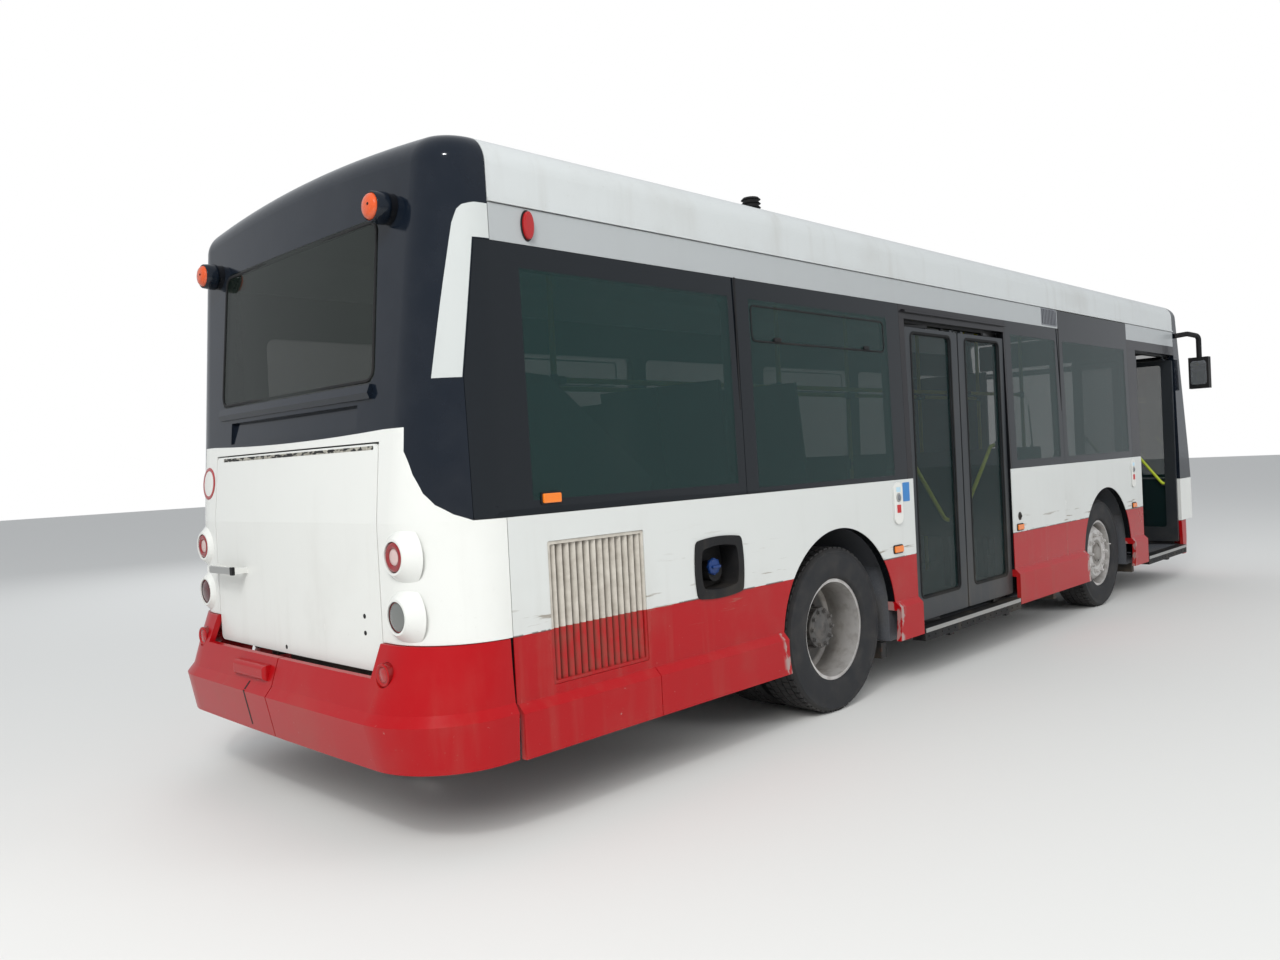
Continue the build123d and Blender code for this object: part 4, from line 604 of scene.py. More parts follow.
def plain_lens(name, colour, rough=0.15, ribs=650):
    r = Recipe(name)
    pattern = r.maths("SINE", r.y * ribs) * r.maths("SINE", r.z * ribs)
    return r.surface(Base_Color=colour, Roughness=r.noise(20, 2) * 0.1 + rough, Coat_Weight=0.7,
                     Normal=r.bump(pattern, 0.3, 0.001))


rear_lens = rear_lamp_lens()
head_lens = plain_lens("head_lens", seen(0.80, 0.82, 0.84))
amber_lens = plain_lens("amber_lens", seen(0.90, 0.47, 0.08))
white_plastic = plain_lens("white_plastic", seen(0.86, 0.86, 0.84), 0.4, 0)
red_lens = plain_lens("red_lens", seen(0.62, 0.05, 0.06))
print("lenses:", rear_lens.name, head_lens.name, amber_lens.name)

# %% [markdown]
# The air inlet in the side has upright louvres, painted like the wall: white above the split and red
# below it. Where they curve back the colour is darkened with painted shade, more the deeper a point lies
# behind the face, and clouds of dust lie over it.

# %% Louvres and studio floor
def louvre_paint():
    r = Recipe("louvre_paint")
    # Painted shade: darker the deeper a point lies behind the wall's face.
    recess_shade = wall_depth(r).ramp(0.004, 0.04)
    clouds = r.noise(16, 5).ramp(0.3, 0.75)
    coat = r.mix(r.z.under(split_z), seen(0.76, 0.74, 0.70), red)
    # One dark brown serves both the painted shade in the recesses and the dust clouds.
    colour = r.mix(recess_shade * 0.55 + clouds * 0.3, coat, seen(0.38, 0.33, 0.27))
    return r.surface(Base_Color=colour, Roughness=0.6)


def pale_floor():
    r = Recipe("pale_floor")
    return r.surface(Base_Color=seen(0.87, 0.87, 0.86), Roughness=0.85)


louvres = louvre_paint()
studio_floor.data.materials.append(pale_floor())

# %% [markdown]
# Now each solid of the frame gets its finish. A table keeps the whole dressing plan in one place.

# %% Dress the solids
dressing = {
    body_coat: ["right_wall", "left_wall"],
    roof_coat: ["roof"],
    white_coat: ["rear_fascia", "engine_flap", "front_panel"],
    column_coat: ["corner_columns"],
    red_coat: ["skirts", "rear_bumper", "front_bumper"],
    mask_black: ["rear_mask", "front_mask"],
    matt_black: ["filler_recess", "mirrors", "wipers", "roof_vent", "door_sills", "steering_wheel"],
    frame_black: ["door_headers"] + [n for n in frame["nodes"] if n.endswith(("_leaf", "_post"))],
    cover_grey: ["engine_cover", "dashboard", "seat_shells"],
    panel_grey: ["cab_partition"],
    side_glass: ["side_glazing"],
    rear_glass: ["rear_window"],
    door_glass: ["windscreen"] + [n for n in frame["nodes"] if n.endswith("_glass")],
    tyre: [n for n in frame["nodes"] if n.endswith("_tyre")],
    rim_silver: [n for n in frame["nodes"] if n.endswith("_rim")],
    underseal: ["chassis", "fuel_tank", "engine_block"],
    cast_iron: ["front_axle", "rear_axle", "front_left_knuckle", "front_right_knuckle"],
    vinyl: ["floor"],
    cloth: ["seat_pads"],
    yellow_tube: ["handrails"],
    rear_lens: ["rear_lamps"],
    head_lens: ["headlamps"],
    louvres: ["side_grille"],
}


def dress(node, material):
    """Gives a solid of the frame its finish."""
    mesh = frame["nodes"][node].data
    mesh.materials.clear()
    mesh.materials.append(material)


for material, nodes in dressing.items():
    for node in nodes:
        dress(node, material)
plain = set(frame["nodes"]) - {node for nodes in dressing.values() for node in nodes}
print("solids without a finish:", sorted(plain))

# %% [markdown]
# Fittings that repeat come from Geometry Nodes. A second kind of graph has named inputs, and its last
# method runs it: the modifier's inputs are set by their identifiers, and the result is taken as a plain
# mesh.

# %% Geometry Nodes helper
class Bench(Graph):
    """A Geometry Nodes tree in the making, with named inputs."""

    kinds = {float: "NodeSocketFloat", int: "NodeSocketInt", tuple: "NodeSocketVector"}

    def __init__(self, name, inputs):
        super().__init__(bpy.data.node_groups.new(name, "GeometryNodeTree"))
        self.tree.interface.new_socket("Geometry", in_out="OUTPUT", socket_type="NodeSocketGeometry")
        self.ids = {}
        for title, value in inputs.items():
            self.add_input(title, self.kinds[type(value)]).default_value = value
        self.add_input("Finish", "NodeSocketMaterial")
        sockets = self.tree.nodes.new("NodeGroupInput").outputs
        self.given = {title: Wire(self, sockets[title]) for title in self.ids}

    def add_input(self, title, kind):
        made = self.tree.interface.new_socket(title, in_out="INPUT", socket_type=kind)
        self.ids[title] = made.identifier
        return made

    def vector(self, x=0.0, y=0.0, z=0.0):
        return self.node("ShaderNodeCombineXYZ", None, {"X": x, "Y": y, "Z": z})

    def finish(self, geometry):
        """Ends the tree: real geometry, with the piece's own material."""
        real = self.node("GeometryNodeRealizeInstances", None, {"Geometry": geometry})
        done = self.node("GeometryNodeSetMaterial", None, {
            "Geometry": real, "Material": self.given["Finish"]})
        self.node("NodeGroupOutput", None, {"Geometry": done}, None)

    def run(self, finish, **values):
        """Evaluates the tree once and returns a plain mesh."""
        holder = placed("bench", bpy.data.meshes.new("bench"))
        modifier = holder.modifiers.new("grown", "NODES")
        modifier.node_group = self.tree
        modifier[self.ids["Finish"]] = finish
        for title, value in values.items():
            modifier[self.ids[title.replace("_", " ")]] = value
        bpy.context.view_layer.update()
        grown = holder.evaluated_get(bpy.context.evaluated_depsgraph_get())
        mesh = bpy.data.meshes.new_from_object(grown)
        bpy.data.objects.remove(holder)
        return mesh


print("a bench takes", sorted(kind.__name__ for kind in Bench.kinds), "inputs")

# %% [markdown]
# Fittings of one kind are joined into one piece with several materials, because the frame knows pieces
# by the body that they ride on. Joining copies each mesh through its own matrix and keeps its finish.

# %% Pieces that ride on a body
def piece(name, mesh, body, replaces):
    """A finished piece at the origin, riding on its body."""
    made = placed(name, mesh)
    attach(made, body)
    if replaces:
        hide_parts(*replaces)
    return made


def joined(name, meshes, body, replaces=()):
    """Several meshes as one piece, each placed by its own matrix and with its own materials."""
    whole = bmesh.new()
    materials = []
    for mesh, place in meshes:
        indices = []
        for material in mesh.materials:
            if material not in materials:
                materials.append(material)
            indices.append(materials.index(material))
        copy = mesh.copy()
        if place is not None:
            copy.transform(place)
            if place.determinant() < 0:
                copy.flip_normals()
        for polygon in copy.polygons:
            polygon.material_index = indices[polygon.material_index]
        whole.from_mesh(copy)
        bpy.data.meshes.remove(copy)
    made = bpy.data.meshes.new(name)
    whole.to_mesh(made)
    whole.free()
    for material in materials:
        made.materials.append(material)
    return piece(name, made, body, replaces)


mm = 0.001


def shifted(x=0.0, y=0.0, z=0.0):
    return Matrix.Translation((x, y, z))


def facing(side):
    """Turns a fitting made to face +Z so that it faces outwards on one side of the bus."""
    return Matrix.Rotation(math.radians(-90 * side), 4, "X")


print("the right side faces", rounded_values(facing(-1) @ Vector((0, 0, 1))))

# %% [markdown]
# Most small parts of a vehicle are turned or pressed. A lathe turns a profile round an axis, and a slab
# raises an outline and rounds its upper rim. Both are built point by point, so that every size is kept.

# %% Turned forms and sheets
def meshed(whole, finish, smooth=False):
    """A plain mesh from edited faces, with all their normals outwards."""
    bmesh.ops.recalc_face_normals(whole, faces=whole.faces)
    for face in whole.faces:
        face.smooth = smooth
    made = bpy.data.meshes.new("made")
    whole.to_mesh(made)
    whole.free()
    made.materials.append(finish)
    return made


def lathe(profile, finish, steps=48):
    """A turned form from (radius, height) pairs in millimetres. Off the axis its ends are joined."""
    whole = bmesh.new()
    rings = []
    for radius, height in profile:
        angles = [2 * math.pi * i / steps for i in range(steps if radius else 1)]
        rings.append([whole.verts.new((radius * mm * math.cos(a), radius * mm * math.sin(a), height * mm))
                      for a in angles])
    if profile[0][0]:
        rings.append(rings[0])
    for low, high in zip(rings, rings[1:]):
        for i in range(steps):
            j = (i + 1) % steps
            corners = [low[i % len(low)], low[j % len(low)], high[j % len(high)], high[i % len(high)]]
            corners = list(dict.fromkeys(corners))
            if len(corners) > 2:
                whole.faces.new(corners)
    return meshed(whole, finish, smooth=True)


def slab(outline, thickness, finish, bevel=0.0, segments=2):
    """A flat sheet from an outline of (x, y) pairs, standing up along Z, with a rounded upper rim."""
    whole = bmesh.new()
    face = whole.faces.new([whole.verts.new((x, y, 0)) for x, y in outline])
    top = bmesh.ops.extrude_face_region(whole, geom=[face])["geom"]
    lifted = [part for part in top if isinstance(part, bmesh.types.BMVert)]
    bmesh.ops.translate(whole, vec=(0, 0, thickness), verts=lifted)
    bmesh.ops.recalc_face_normals(whole, faces=whole.faces)
    if bevel:
        rims = [e for e in whole.edges if all(abs(v.co.z - thickness) < 1e-6 for v in e.verts)]
        bmesh.ops.bevel(whole, geom=rims, offset=bevel, segments=segments, affect="EDGES", profile=0.7)
    return meshed(whole, finish)


def plate(width, height, radius, thickness, finish, bevel=0.0, segments=2):
    """A slab with a rectangle for its outline, with round corners."""
    steps = 6
    outline = []
    for across, up, start in ((1, 1, 0), (-1, 1, 90), (-1, -1, 180), (1, -1, 270)):
        for i in range(steps + 1):
            a = math.radians(start + 90 * i / steps)
            outline.append((across * (width / 2 - radius) + radius * math.cos(a),
                            up * (height / 2 - radius) + radius * math.sin(a)))
    return slab(outline, thickness, finish, bevel, segments)


print("profiles are in steps of", mm, "m")

# %% [markdown]
# A fitting sits where a straight line first meets its solid, so its place needs only two numbers and it
# can't float or sink. The seat found there is a matrix, and fittings are made to face along its Z.

# %% Seats on the solids' skins
skins = {}


def mounted(node, origin, direction, lift=0.0, level=True):
    """A seat for a fitting where a line first meets a node: its Z points outwards, its Y upwards.

    With level, Z is the line's own direction reversed, otherwise it follows the surface.
    """
    if node not in skins:
        mesh = frame["nodes"][node].data
        skins[node] = BVHTree.FromPolygons([v.co for v in mesh.vertices],
                                           [p.vertices for p in mesh.polygons])
    line = Vector(direction).normalized()
    place, normal, _, _ = skins[node].ray_cast(Vector(origin), line)
    outward = -line if level else normal * (-1 if normal.dot(line) > 0 else 1)
    upward = Vector((0, 0, 1)) if abs(outward.z) < 0.9 else Vector((1, 0, 0))
    across = upward.cross(outward).normalized()
    turned = Matrix((across, outward.cross(across), outward)).transposed().to_4x4()
    return Matrix.Translation(place + outward * lift) @ turned


def from_right(node, x, z, lift=0.0, level=True):
    return mounted(node, (x, -3, z), (0, 1, 0), lift, level)


def from_left(node, x, z, lift=0.0, level=True):
    return mounted(node, (x, 3, z), (0, -1, 0), lift, level)


def from_behind(node, y, z, lift=0.0, level=True):
    return mounted(node, (-8, y, z), (1, 0, 0), lift, level)


def from_ahead(node, y, z, lift=0.0, level=True):
    return mounted(node, (8, y, z), (-1, 0, 0), lift, level)


def from_above(node, x, y, lift=0.0, level=True):
    return mounted(node, (x, y, 4), (0, 0, -1), lift, level)


print("the flap's face lies at x =", round(from_behind("engine_flap", 0, 1.3).translation.x, 4))

# %% [markdown]
# Three trees cover most small fittings: a ring of bolts or studs round an axis, a rubber or metal bead
# round an opening with rounded corners, and a row of bars.

# %% Tree: ring of studs
ring = Bench("ring_of_studs", {"Count": 10, "Ring Radius": 0.1, "Stud Radius": 0.01, "Height": 0.02,
                               "Sides": 6, "Washer": 1.5})
given = ring.given
circle = ring.node("GeometryNodeMeshCircle", None, {"Vertices": given["Count"],
                                                    "Radius": given["Ring Radius"]})
both = ring.tree.nodes.new("GeometryNodeJoinGeometry")
for sides, radius, height in (
    (given["Sides"], given["Stud Radius"], given["Height"]),
    (12, given["Stud Radius"] * given["Washer"], given["Height"] * 0.3),
):
    drum = ring.node("GeometryNodeMeshCylinder", None, {
        "Vertices": sides, "Radius": radius, "Depth": height})
    standing = ring.node("GeometryNodeTransform", None, {
        "Geometry": drum, "Translation": ring.vector(z=height * 0.5)})
    ring.tree.links.new(standing.socket, both.inputs[0])
ring.finish(ring.node("GeometryNodeInstanceOnPoints", None, {
    "Points": circle, "Instance": Wire(ring, both.outputs[0])}))


def studs(finish, count, circle, radius, height, sides, washer):
    """A ring of studs, each with a washer as many times wider as washer says."""
    return ring.run(finish, Count=count, Ring_Radius=circle, Stud_Radius=radius, Height=height,
                    Sides=sides, Washer=washer)


print("the ring has", len(ring.ids), "inputs")

# %% Tree: framed opening
bead = Bench("framed_opening", {"Width": 1.0, "Height": 1.0, "Corner": 0.05, "Bead Width": 0.01,
                                "Bead Depth": 0.006})
given = bead.given
loops = []
for width, height, count, radius in (
    (given["Width"], given["Height"], 6, given["Corner"]),
    (given["Bead Width"], given["Bead Depth"], 2, given["Bead Depth"] * 0.3),
):
    loop = bead.node("GeometryNodeCurvePrimitiveQuadrilateral", None, {"Width": width, "Height": height})
    loops.append(bead.node("GeometryNodeFilletCurve", {"mode": "POLY"}, {
        "Curve": loop, "Count": count, "Radius": radius}))
bead.finish(bead.node("GeometryNodeCurveToMesh", None, {"Curve": loops[0], "Profile Curve": loops[1]}))


def framed(finish, width, height, corner, bead_width, bead_depth):
    """A bead round a rectangle with round corners."""
    return bead.run(finish, Width=width, Height=height, Corner=corner, Bead_Width=bead_width,
                    Bead_Depth=bead_depth)


print("the bead has", len(bead.ids), "inputs")

# %% Tree: row of bars
row = Bench("row_of_bars", {"Count": 10, "Pitch": (0.0, 0.03, 0.0), "Bar": (0.01, 0.01, 0.01)})
line = row.node("GeometryNodeMeshLine", None, {
    "Count": row.given["Count"], "Offset": row.given["Pitch"]})
bar = row.node("GeometryNodeMeshCube", None, {"Size": row.given["Bar"]})
row.finish(row.node("GeometryNodeInstanceOnPoints", None, {"Points": line, "Instance": bar}))


def bars(finish, count, pitch, bar):
    """A straight row of bars. Pitch is the step from one to the next."""
    return row.run(finish, Count=count, Pitch=pitch, Bar=bar)


print("trees:", [tree.name for tree in bpy.data.node_groups])

# %% [markdown]
# The tyres are 22.5 inch coach tyres: a steep sidewall, a shoulder, and a tread of ribs cut into
# blocks. Geometry Nodes set the blocks round the carcass, with their number, length and depth as plain
# inputs, and every second rib is shifted by half a block.

# %% Tree: tread blocks round the tyre
tread = Bench("tread_blocks", {"Count": 56, "Radius": 0.47, "Depth": 0.02, "Rib": 0.036, "Length": 0.042,
                               "Shift": 0.0, "Offset": 0.0})
round_tyre = tread.node("GeometryNodeMeshCircle", None, {
    "Vertices": tread.given["Count"], "Radius": tread.given["Radius"]})
turned_round = tread.node("GeometryNodeTransform", None, {
    "Geometry": round_tyre, "Rotation": tread.vector(z=tread.given["Shift"]),
    "Translation": tread.vector(z=tread.given["Offset"])})
block = tread.node("GeometryNodeMeshCube", None, {"Size": tread.vector(
    tread.given["Depth"], tread.given["Length"], tread.given["Rib"])})
outward = tread.node("FunctionNodeAlignRotationToVector", {"axis": "X"}, {
    "Vector": tread.node("ShaderNodeVectorMath", {"operation": "MULTIPLY"}, {
        0: tread.node("GeometryNodeInputPosition"), 1: tread.vector(1.0, 1.0, 0.0)})})
tread.finish(tread.node("GeometryNodeInstanceOnPoints", None, {
    "Points": turned_round, "Instance": block, "Rotation": outward}))

# %% [markdown]
# A tyre mesh lies round Z with its outer side up, 270 mm wide. Near the shoulder the sidewall carries a
# raised scuff rib, as on city bus tyres.

# %% Tyre form
carcass_profile = [
    # radius, height, in millimetres
    (296, -110), (299, -122), (318, -128), (350, -134), (395, -135), (425, -131), (447, -127), (450, -130),
    (456, -130), (459, -124), (466, -118), (470.5, -106),
]
carcass_profile += [(radius, -height) for radius, height in reversed(carcass_profile)]
carcass_profile += [(287, 100), (286, 0), (287, -100)]
rib_columns = [
    # height, rib width, block length, shift
    (-0.093, 0.032, 0.034, 0.0), (-0.047, 0.040, 0.044, 0.5), (0.0, 0.038, 0.046, 0.0),
    (0.047, 0.040, 0.044, 0.5), (0.093, 0.032, 0.034, 0.0),
]
block_count = 60
carcass = lathe(carcass_profile, tyre, 96)
tread_meshes = [
    tread.run(tyre, Count=block_count, Radius=0.4685, Depth=0.020, Rib=width, Length=length,
              Shift=shift * 2 * math.pi / block_count, Offset=height)
    for height, width, length, shift in rib_columns
]
print("tyre:", len(carcass.polygons) + sum(len(m.polygons) for m in tread_meshes), "faces")

# %% [markdown]
# Each wheel body gets its tyres, one in front and two behind. A table says where each tyre's middle
# lies across the bus, so that one loop fits all six.

# %% Fit the tyres
tyre_rows = [
    # wheel body, axle x, side, middles of the tyres across the bus
    ("front_right_wheel", front_axle_x, -1, (0.993,)),
    ("front_left_wheel", front_axle_x, 1, (0.993,)),
    ("rear_right_wheel", rear_axle_x, -1, (1.018, 0.706)),
    ("rear_left_wheel", rear_axle_x, 1, (1.018, 0.706)),
]
for body, axle_x, side, middles in tyre_rows:
    parts = []
    for middle in middles:
        place = shifted(axle_x, side * middle, wheel_z) @ facing(side)
        parts += [(carcass, place)] + [(mesh, place) for mesh in tread_meshes]
    name = body.replace("wheel", "tyre")
    joined(name + "_treaded", parts, body, replaces=[name])
print("tyres fitted:", sum(len(row[3]) for row in tyre_rows))

# %% [markdown]
# Ten wheel nuts hold each rim. On the rear wheel the hub reaches far out of the deep disc and ends in
# the half shaft's flange, held by its own ring of bolts. The front hub has a small domed grease cap.

# %% Nuts, hub flange, cap and valve
rear_disc_y = 0.876
rear_hub_end_y = 1.041
front_disc_y = 1.088
stud_circle = 0.1675
nuts = studs(rim_silver, 10, stud_circle, 0.0165, 0.026, 6, 1.5)
stud_ends = studs(rim_silver, 10, stud_circle, 0.010, 0.034, 12, 1.0)
cap_bolts = studs(rim_silver, 12, 0.053, 0.0075, 0.011, 6, 1.3)
flange_bolts = studs(rim_silver, 10, 0.100, 0.0105, 0.016, 6, 1.4)
hub_ribs = studs(rim_silver, 10, 0.104, 0.019, 0.135, 14, 1.0)
shaft_flange = lathe([(0, 8), (24, 8), (28, 4), (60, 4), (72, 2), (78, -2), (82, -1), (114, -1), (119, -5),
                      (119, -16), (0, -16)], rim_silver, 48)
shaft_boss = lathe([(0, 0), (106, 0), (109, -6), (111, -50), (115, -100), (124, -130), (124, -150),
                    (0, -150)], rim_silver, 48)
grease_cap = lathe([(0, 10), (20, 9), (45, 6), (60, 0), (64, -10), (70, -12), (70, -20), (0, -20)],
                    rim_silver, 40)
lip_band = lathe([(292.5, -2), (298.5, 0), (300, -4), (300, -10), (292.5, -10)], aluminium, 72)
valve = lathe([(0, 0), (4, -2), (4.5, -12), (7, -14), (7, -30), (5, -55), (0, -55)], rim_silver, 14)
balance_clip = plate(0.030, 0.010, 0.004, 0.006, aluminium, 0.002)
for body, axle_x, side, middles in tyre_rows:
    rear = len(middles) > 1
    disc_y = rear_disc_y if rear else front_disc_y
    rim_edge_y = middles[0] + 0.107
    fittings = [
        # mesh, how far out, how far ahead of the axle, how far above it
        (nuts, disc_y, 0, 0), (stud_ends, disc_y, 0, 0), (lip_band, rim_edge_y, 0, 0),
        (valve, disc_y + 0.05, 0.225, 0.06), (balance_clip, rim_edge_y - 0.004, -0.12, 0.262),
    ]
    if rear:
        end_y = rear_hub_end_y
        fittings += [(shaft_flange, end_y + 0.002, 0, 0), (flange_bolts, end_y + 0.002, 0, 0),
                     (hub_ribs, end_y - 0.148, 0, 0), (shaft_boss, end_y - 0.010, 0, 0)]
    else:
        fittings += [(grease_cap, disc_y + 0.012, 0, 0), (cap_bolts, disc_y + 0.004, 0, 0)]
    parts = [(mesh, shifted(axle_x + ahead, side * out, wheel_z + above) @ facing(side))
             for mesh, out, ahead, above in fittings]
    joined(body.replace("wheel", "nuts_and_hub"), parts, body)
print("wheels finished")

# %% [markdown]
# Rear lamps are round units in white blisters: a red ring with raised edges, and a paler stippled middle
# over the bulb. The lower ones are plain domes, grey for the reversing light and dark red for the fog
# light. All share one turned form, with its own pair of finishes.

# %% Rear lamps
lens_grey = plain_lens("lens_grey", seen(0.40, 0.41, 0.40), 0.2, 900)
lens_pale = plain_lens("lens_pale", seen(0.80, 0.70, 0.68), 0.25, 1100)
lens_dark_red = plain_lens("lens_dark_red", seen(0.30, 0.06, 0.07), 0.2, 500)
lens_ring_red = plain_lens("lens_ring_red", seen(0.52, 0.02, 0.05), 0.2, 800)
lamp_ring = lathe([(34, -4), (34, 4), (38, 7), (48, 9), (57, 6), (61.5, 0), (61.5, -4)], lens_ring_red, 56)
lamp_middle = lathe([(0, 5.5), (15, 5), (28, 3.5), (35.5, 1), (35.5, -4), (0, -4)], lens_pale, 48)
lamp_seal = lathe([(60.5, -4), (60.5, 1.2), (64, 2.6), (67, 1), (67, -4)], matt_black, 56)


def lamp_dome(finish):
    return lathe([(0, 10), (20, 9.2), (40, 6.5), (55, 2), (60, -2), (60, -4), (0, -4)], finish, 56)


lamp_rows = [
    # side, height, meshes
    (-1, 1.184, (lamp_ring, lamp_middle)),
    (1, 1.184, (lamp_ring, lamp_middle)),
    (-1, 0.946, (lamp_dome(lens_grey),)),
    (1, 0.946, (lamp_dome(lens_dark_red),)),
]
parts = []
for side, height, meshes in lamp_rows:
    place = from_behind("rear_lamps", side * 0.927, height)
    parts += [(mesh, place) for mesh in meshes + (lamp_seal,)]
joined("tail_lamp_units", parts, "body")
print("tail lamps:", len(lamp_rows))

# %% [markdown]
# On the roof corners two marker lamps look backwards out of bullet-shaped black pods. Each has an amber
# lens with a centre screw. In the bumper's corners sit two small red reflectors in shallow cups.

# %% Roof pods and bumper reflectors
pod_amber = plain_lens("pod_amber", seen(0.80, 0.30, 0.06), 0.25, 300)
pod_y = 0.832
pod_z = 2.590
pod_lens = lathe([(0, 9.5), (15, 9), (30, 7.2), (42, 3), (50, -4), (54.5, -14), (55, -30), (0, -30)],
                  pod_amber, 56)
pod_screw = lathe([(0, 2.5), (5, 2), (7, -1), (0, -1)], matt_black, 20)
pod_shell = lathe([(54.5, -12), (58, -10), (61.5, -14), (64.5, -40), (66.5, -62), (66.5, -72), (54.5, -72)],
                   mask_black, 56)
reflector = lathe([(0, 3), (26, 2), (30, -1), (30, -8), (0, -8)], red_lens, 40)
reflector_cup = lathe([(31, -6), (31, 0), (40, 4), (46, 3), (47, -2), (47, -6)], red_coat, 48)
parts = []
for side in (-1, 1):
    tip = from_behind("rear_lamps", side * pod_y, pod_z, -0.002)
    low = from_behind("rear_lamps", side * 0.880, 0.720)
    parts += [(pod_lens, tip), (pod_shell, tip), (pod_screw, tip @ shifted(0.016, 0.004, 0.0085)),
              (reflector, low), (reflector_cup, low)]
joined("rear_markers", parts, "body")
print("roof pods and reflectors:", len(parts))

# %% [markdown]
# The engine flap has a bright pull handle over its left edge, a worn seal along the top where the paint
# has chipped down to grey filler, and three small plugs low on its face. They ride on the flap's body.

# %% Flap fittings
def worn_strip():
    """Grey filler and black seal showing through chipped white paint."""
    r = Recipe("worn_strip")
    chips = r.noise(22, 5, (1, 1, 2.5), offset=(4, 2, 0)).ramp(0.49, 0.53)
    tone = r.noise(60, 3).ramp(0.3, 0.7)
    filler = r.mix(tone, seen(0.50, 0.49, 0.45), seen(0.66, 0.65, 0.61))
    colour = r.mix(chips, filler, seen(0.12, 0.12, 0.12))
    return r.surface(Base_Color=colour, Roughness=tone * 0.2 + 0.65, Normal=r.bump(chips, 0.5, 0.002))


seal_worn = worn_strip()
flap_top_z = 1.624
handle_bar = plate(0.262, 0.034, 0.008, 0.012, aluminium, 0.004, 3)
handle_end = plate(0.030, 0.040, 0.004, 0.014, matt_black, 0.003)
plug = lathe([(0, 3), (6, 2.8), (10, 1), (11, -3), (0, -3)], matt_black, 24)
strip_piece = plate(0.105, 0.016, 0.004, 0.004, seal_worn, 0.0015)
handle_seat = from_behind("engine_flap", 0.595, 1.078)
parts = [(handle_bar, handle_seat @ shifted(0.020, 0, 0.0005)), (handle_end, handle_seat @ shifted(0.150))]
for y, z in ((-0.66, 0.86), (-0.66, 0.93), (0.05, 0.735)):
    parts.append((plug, from_behind("engine_flap", y, z)))
for i in range(14):
    strip_y = -0.700 + i * 0.104
    parts.append((strip_piece, from_behind("engine_flap", strip_y, flap_top_z, -0.0025, level=False)))
joined("flap_fittings", parts, "engine_flap")
print("flap fittings:", len(parts))

# %% [markdown]
# Near its middle the bumper has a dark upright joint, a black strip a hair proud of the red paint. On
# the left corner a blank round sign has a red rim.

# %% Bumper joint and round sign
joint_piece = plate(0.014, 0.060, 0.003, 0.003, matt_black, 0.001)
parts = [(joint_piece, from_behind("rear_bumper", 0.225, z, -0.0022, level=False))
         for z in (0.40, 0.455, 0.51, 0.565)]
joined("bumper_joint", parts, "body")
sign_rim = lathe([(66, -2), (66, 1.5), (68, 2), (82, 2), (84, 1), (84, -2)], red_lens, 56)
sign_face = lathe([(0, 1.6), (64, 1.6), (67, 1), (67, -2), (0, -2)], white_plastic, 56)
place = from_behind("rear_fascia", 0.895, 1.51, level=False)
joined("round_sign", [(sign_rim, place), (sign_face, place)], "body")
print("sign at", rounded_values(place.translation))

# %% [markdown]
# The rear window sits in a rubber gasket. It is made flat and then laid onto the curved glass.

# %% Rear window gasket
window_middle_z = (1.890 + 2.580) / 2
gasket = framed(matt_black, 1.474, 0.664, 0.050, 0.014, 0.010)


def wrapped(mesh, node, middle_y, middle_z):
    """A flat mesh laid onto a node's rear skin: each point keeps its height over the skin."""
    laid = mesh.copy()
    for vertex in laid.vertices:
        seat = from_behind(node, middle_y - vertex.co.x, middle_z + vertex.co.y)
        vertex.co = seat @ Vector((0, 0, vertex.co.z))
    return laid


gasket_laid = wrapped(gasket, "rear_window", 0, window_middle_z)
joined("rear_window_gasket", [(gasket_laid, None)], "body")
print("gasket:", len(gasket.polygons), "faces")

# %% [markdown]
# Fittings of the long sides: a red oval lamp by the rear corner, amber side markers with ribbed lenses in
# black frames, and a drain knob. A table gives each marker its place, the same on both sides.

# %% Side markers
marker_frame = plate(0.112, 0.054, 0.012, 0.006, matt_black, 0.002)
marker_lens = plate(0.098, 0.040, 0.007, 0.015, amber_lens, 0.005, 3)
marker_rows = [
    # node, x, z
    ("side_glazing", -4.196, 1.380), ("right_wall", -1.387, 0.884), ("right_wall", 0.431, 0.870),
    ("right_wall", 3.005, 0.863),
]
seats = [from_right(node, x, z) for node, x, z in marker_rows]
seats += [from_left(node.replace("right", "left"), x, z) for node, x, z in marker_rows]
parts = []
for seat in seats:
    parts += [(marker_frame, seat), (marker_lens, seat)]
oval_points = [(0.026 * math.cos(a), 0.058 * math.sin(a)) for a in (math.tau * i / 28 for i in range(28))]
oval_lamp = slab(oval_points, 0.022, red_lens, 0.010, 4)
oval_base = slab([(x * 1.25, y * 1.12) for x, y in oval_points], 0.005, matt_black, 0.002)
for seat in (from_right("right_wall", -4.235, 2.510), from_left("left_wall", -4.235, 2.510)):
    parts += [(oval_base, seat), (oval_lamp, seat)]
knob = lathe([(0, 14), (10, 14), (13, 10), (14, 3), (30, 2), (33, -2), (0, -2)], matt_black, 32)
parts.append((knob, from_right("right_wall", 0.439, 0.953)))
joined("side_markers", parts, "body")
print("side markers:", len(seats))

# %% [markdown]
# By each doorway a white oval box holds a red square and above it a round push button in a ring, with a
# pale sticker over it, and a blue sticker is beside the glass. All are blank.

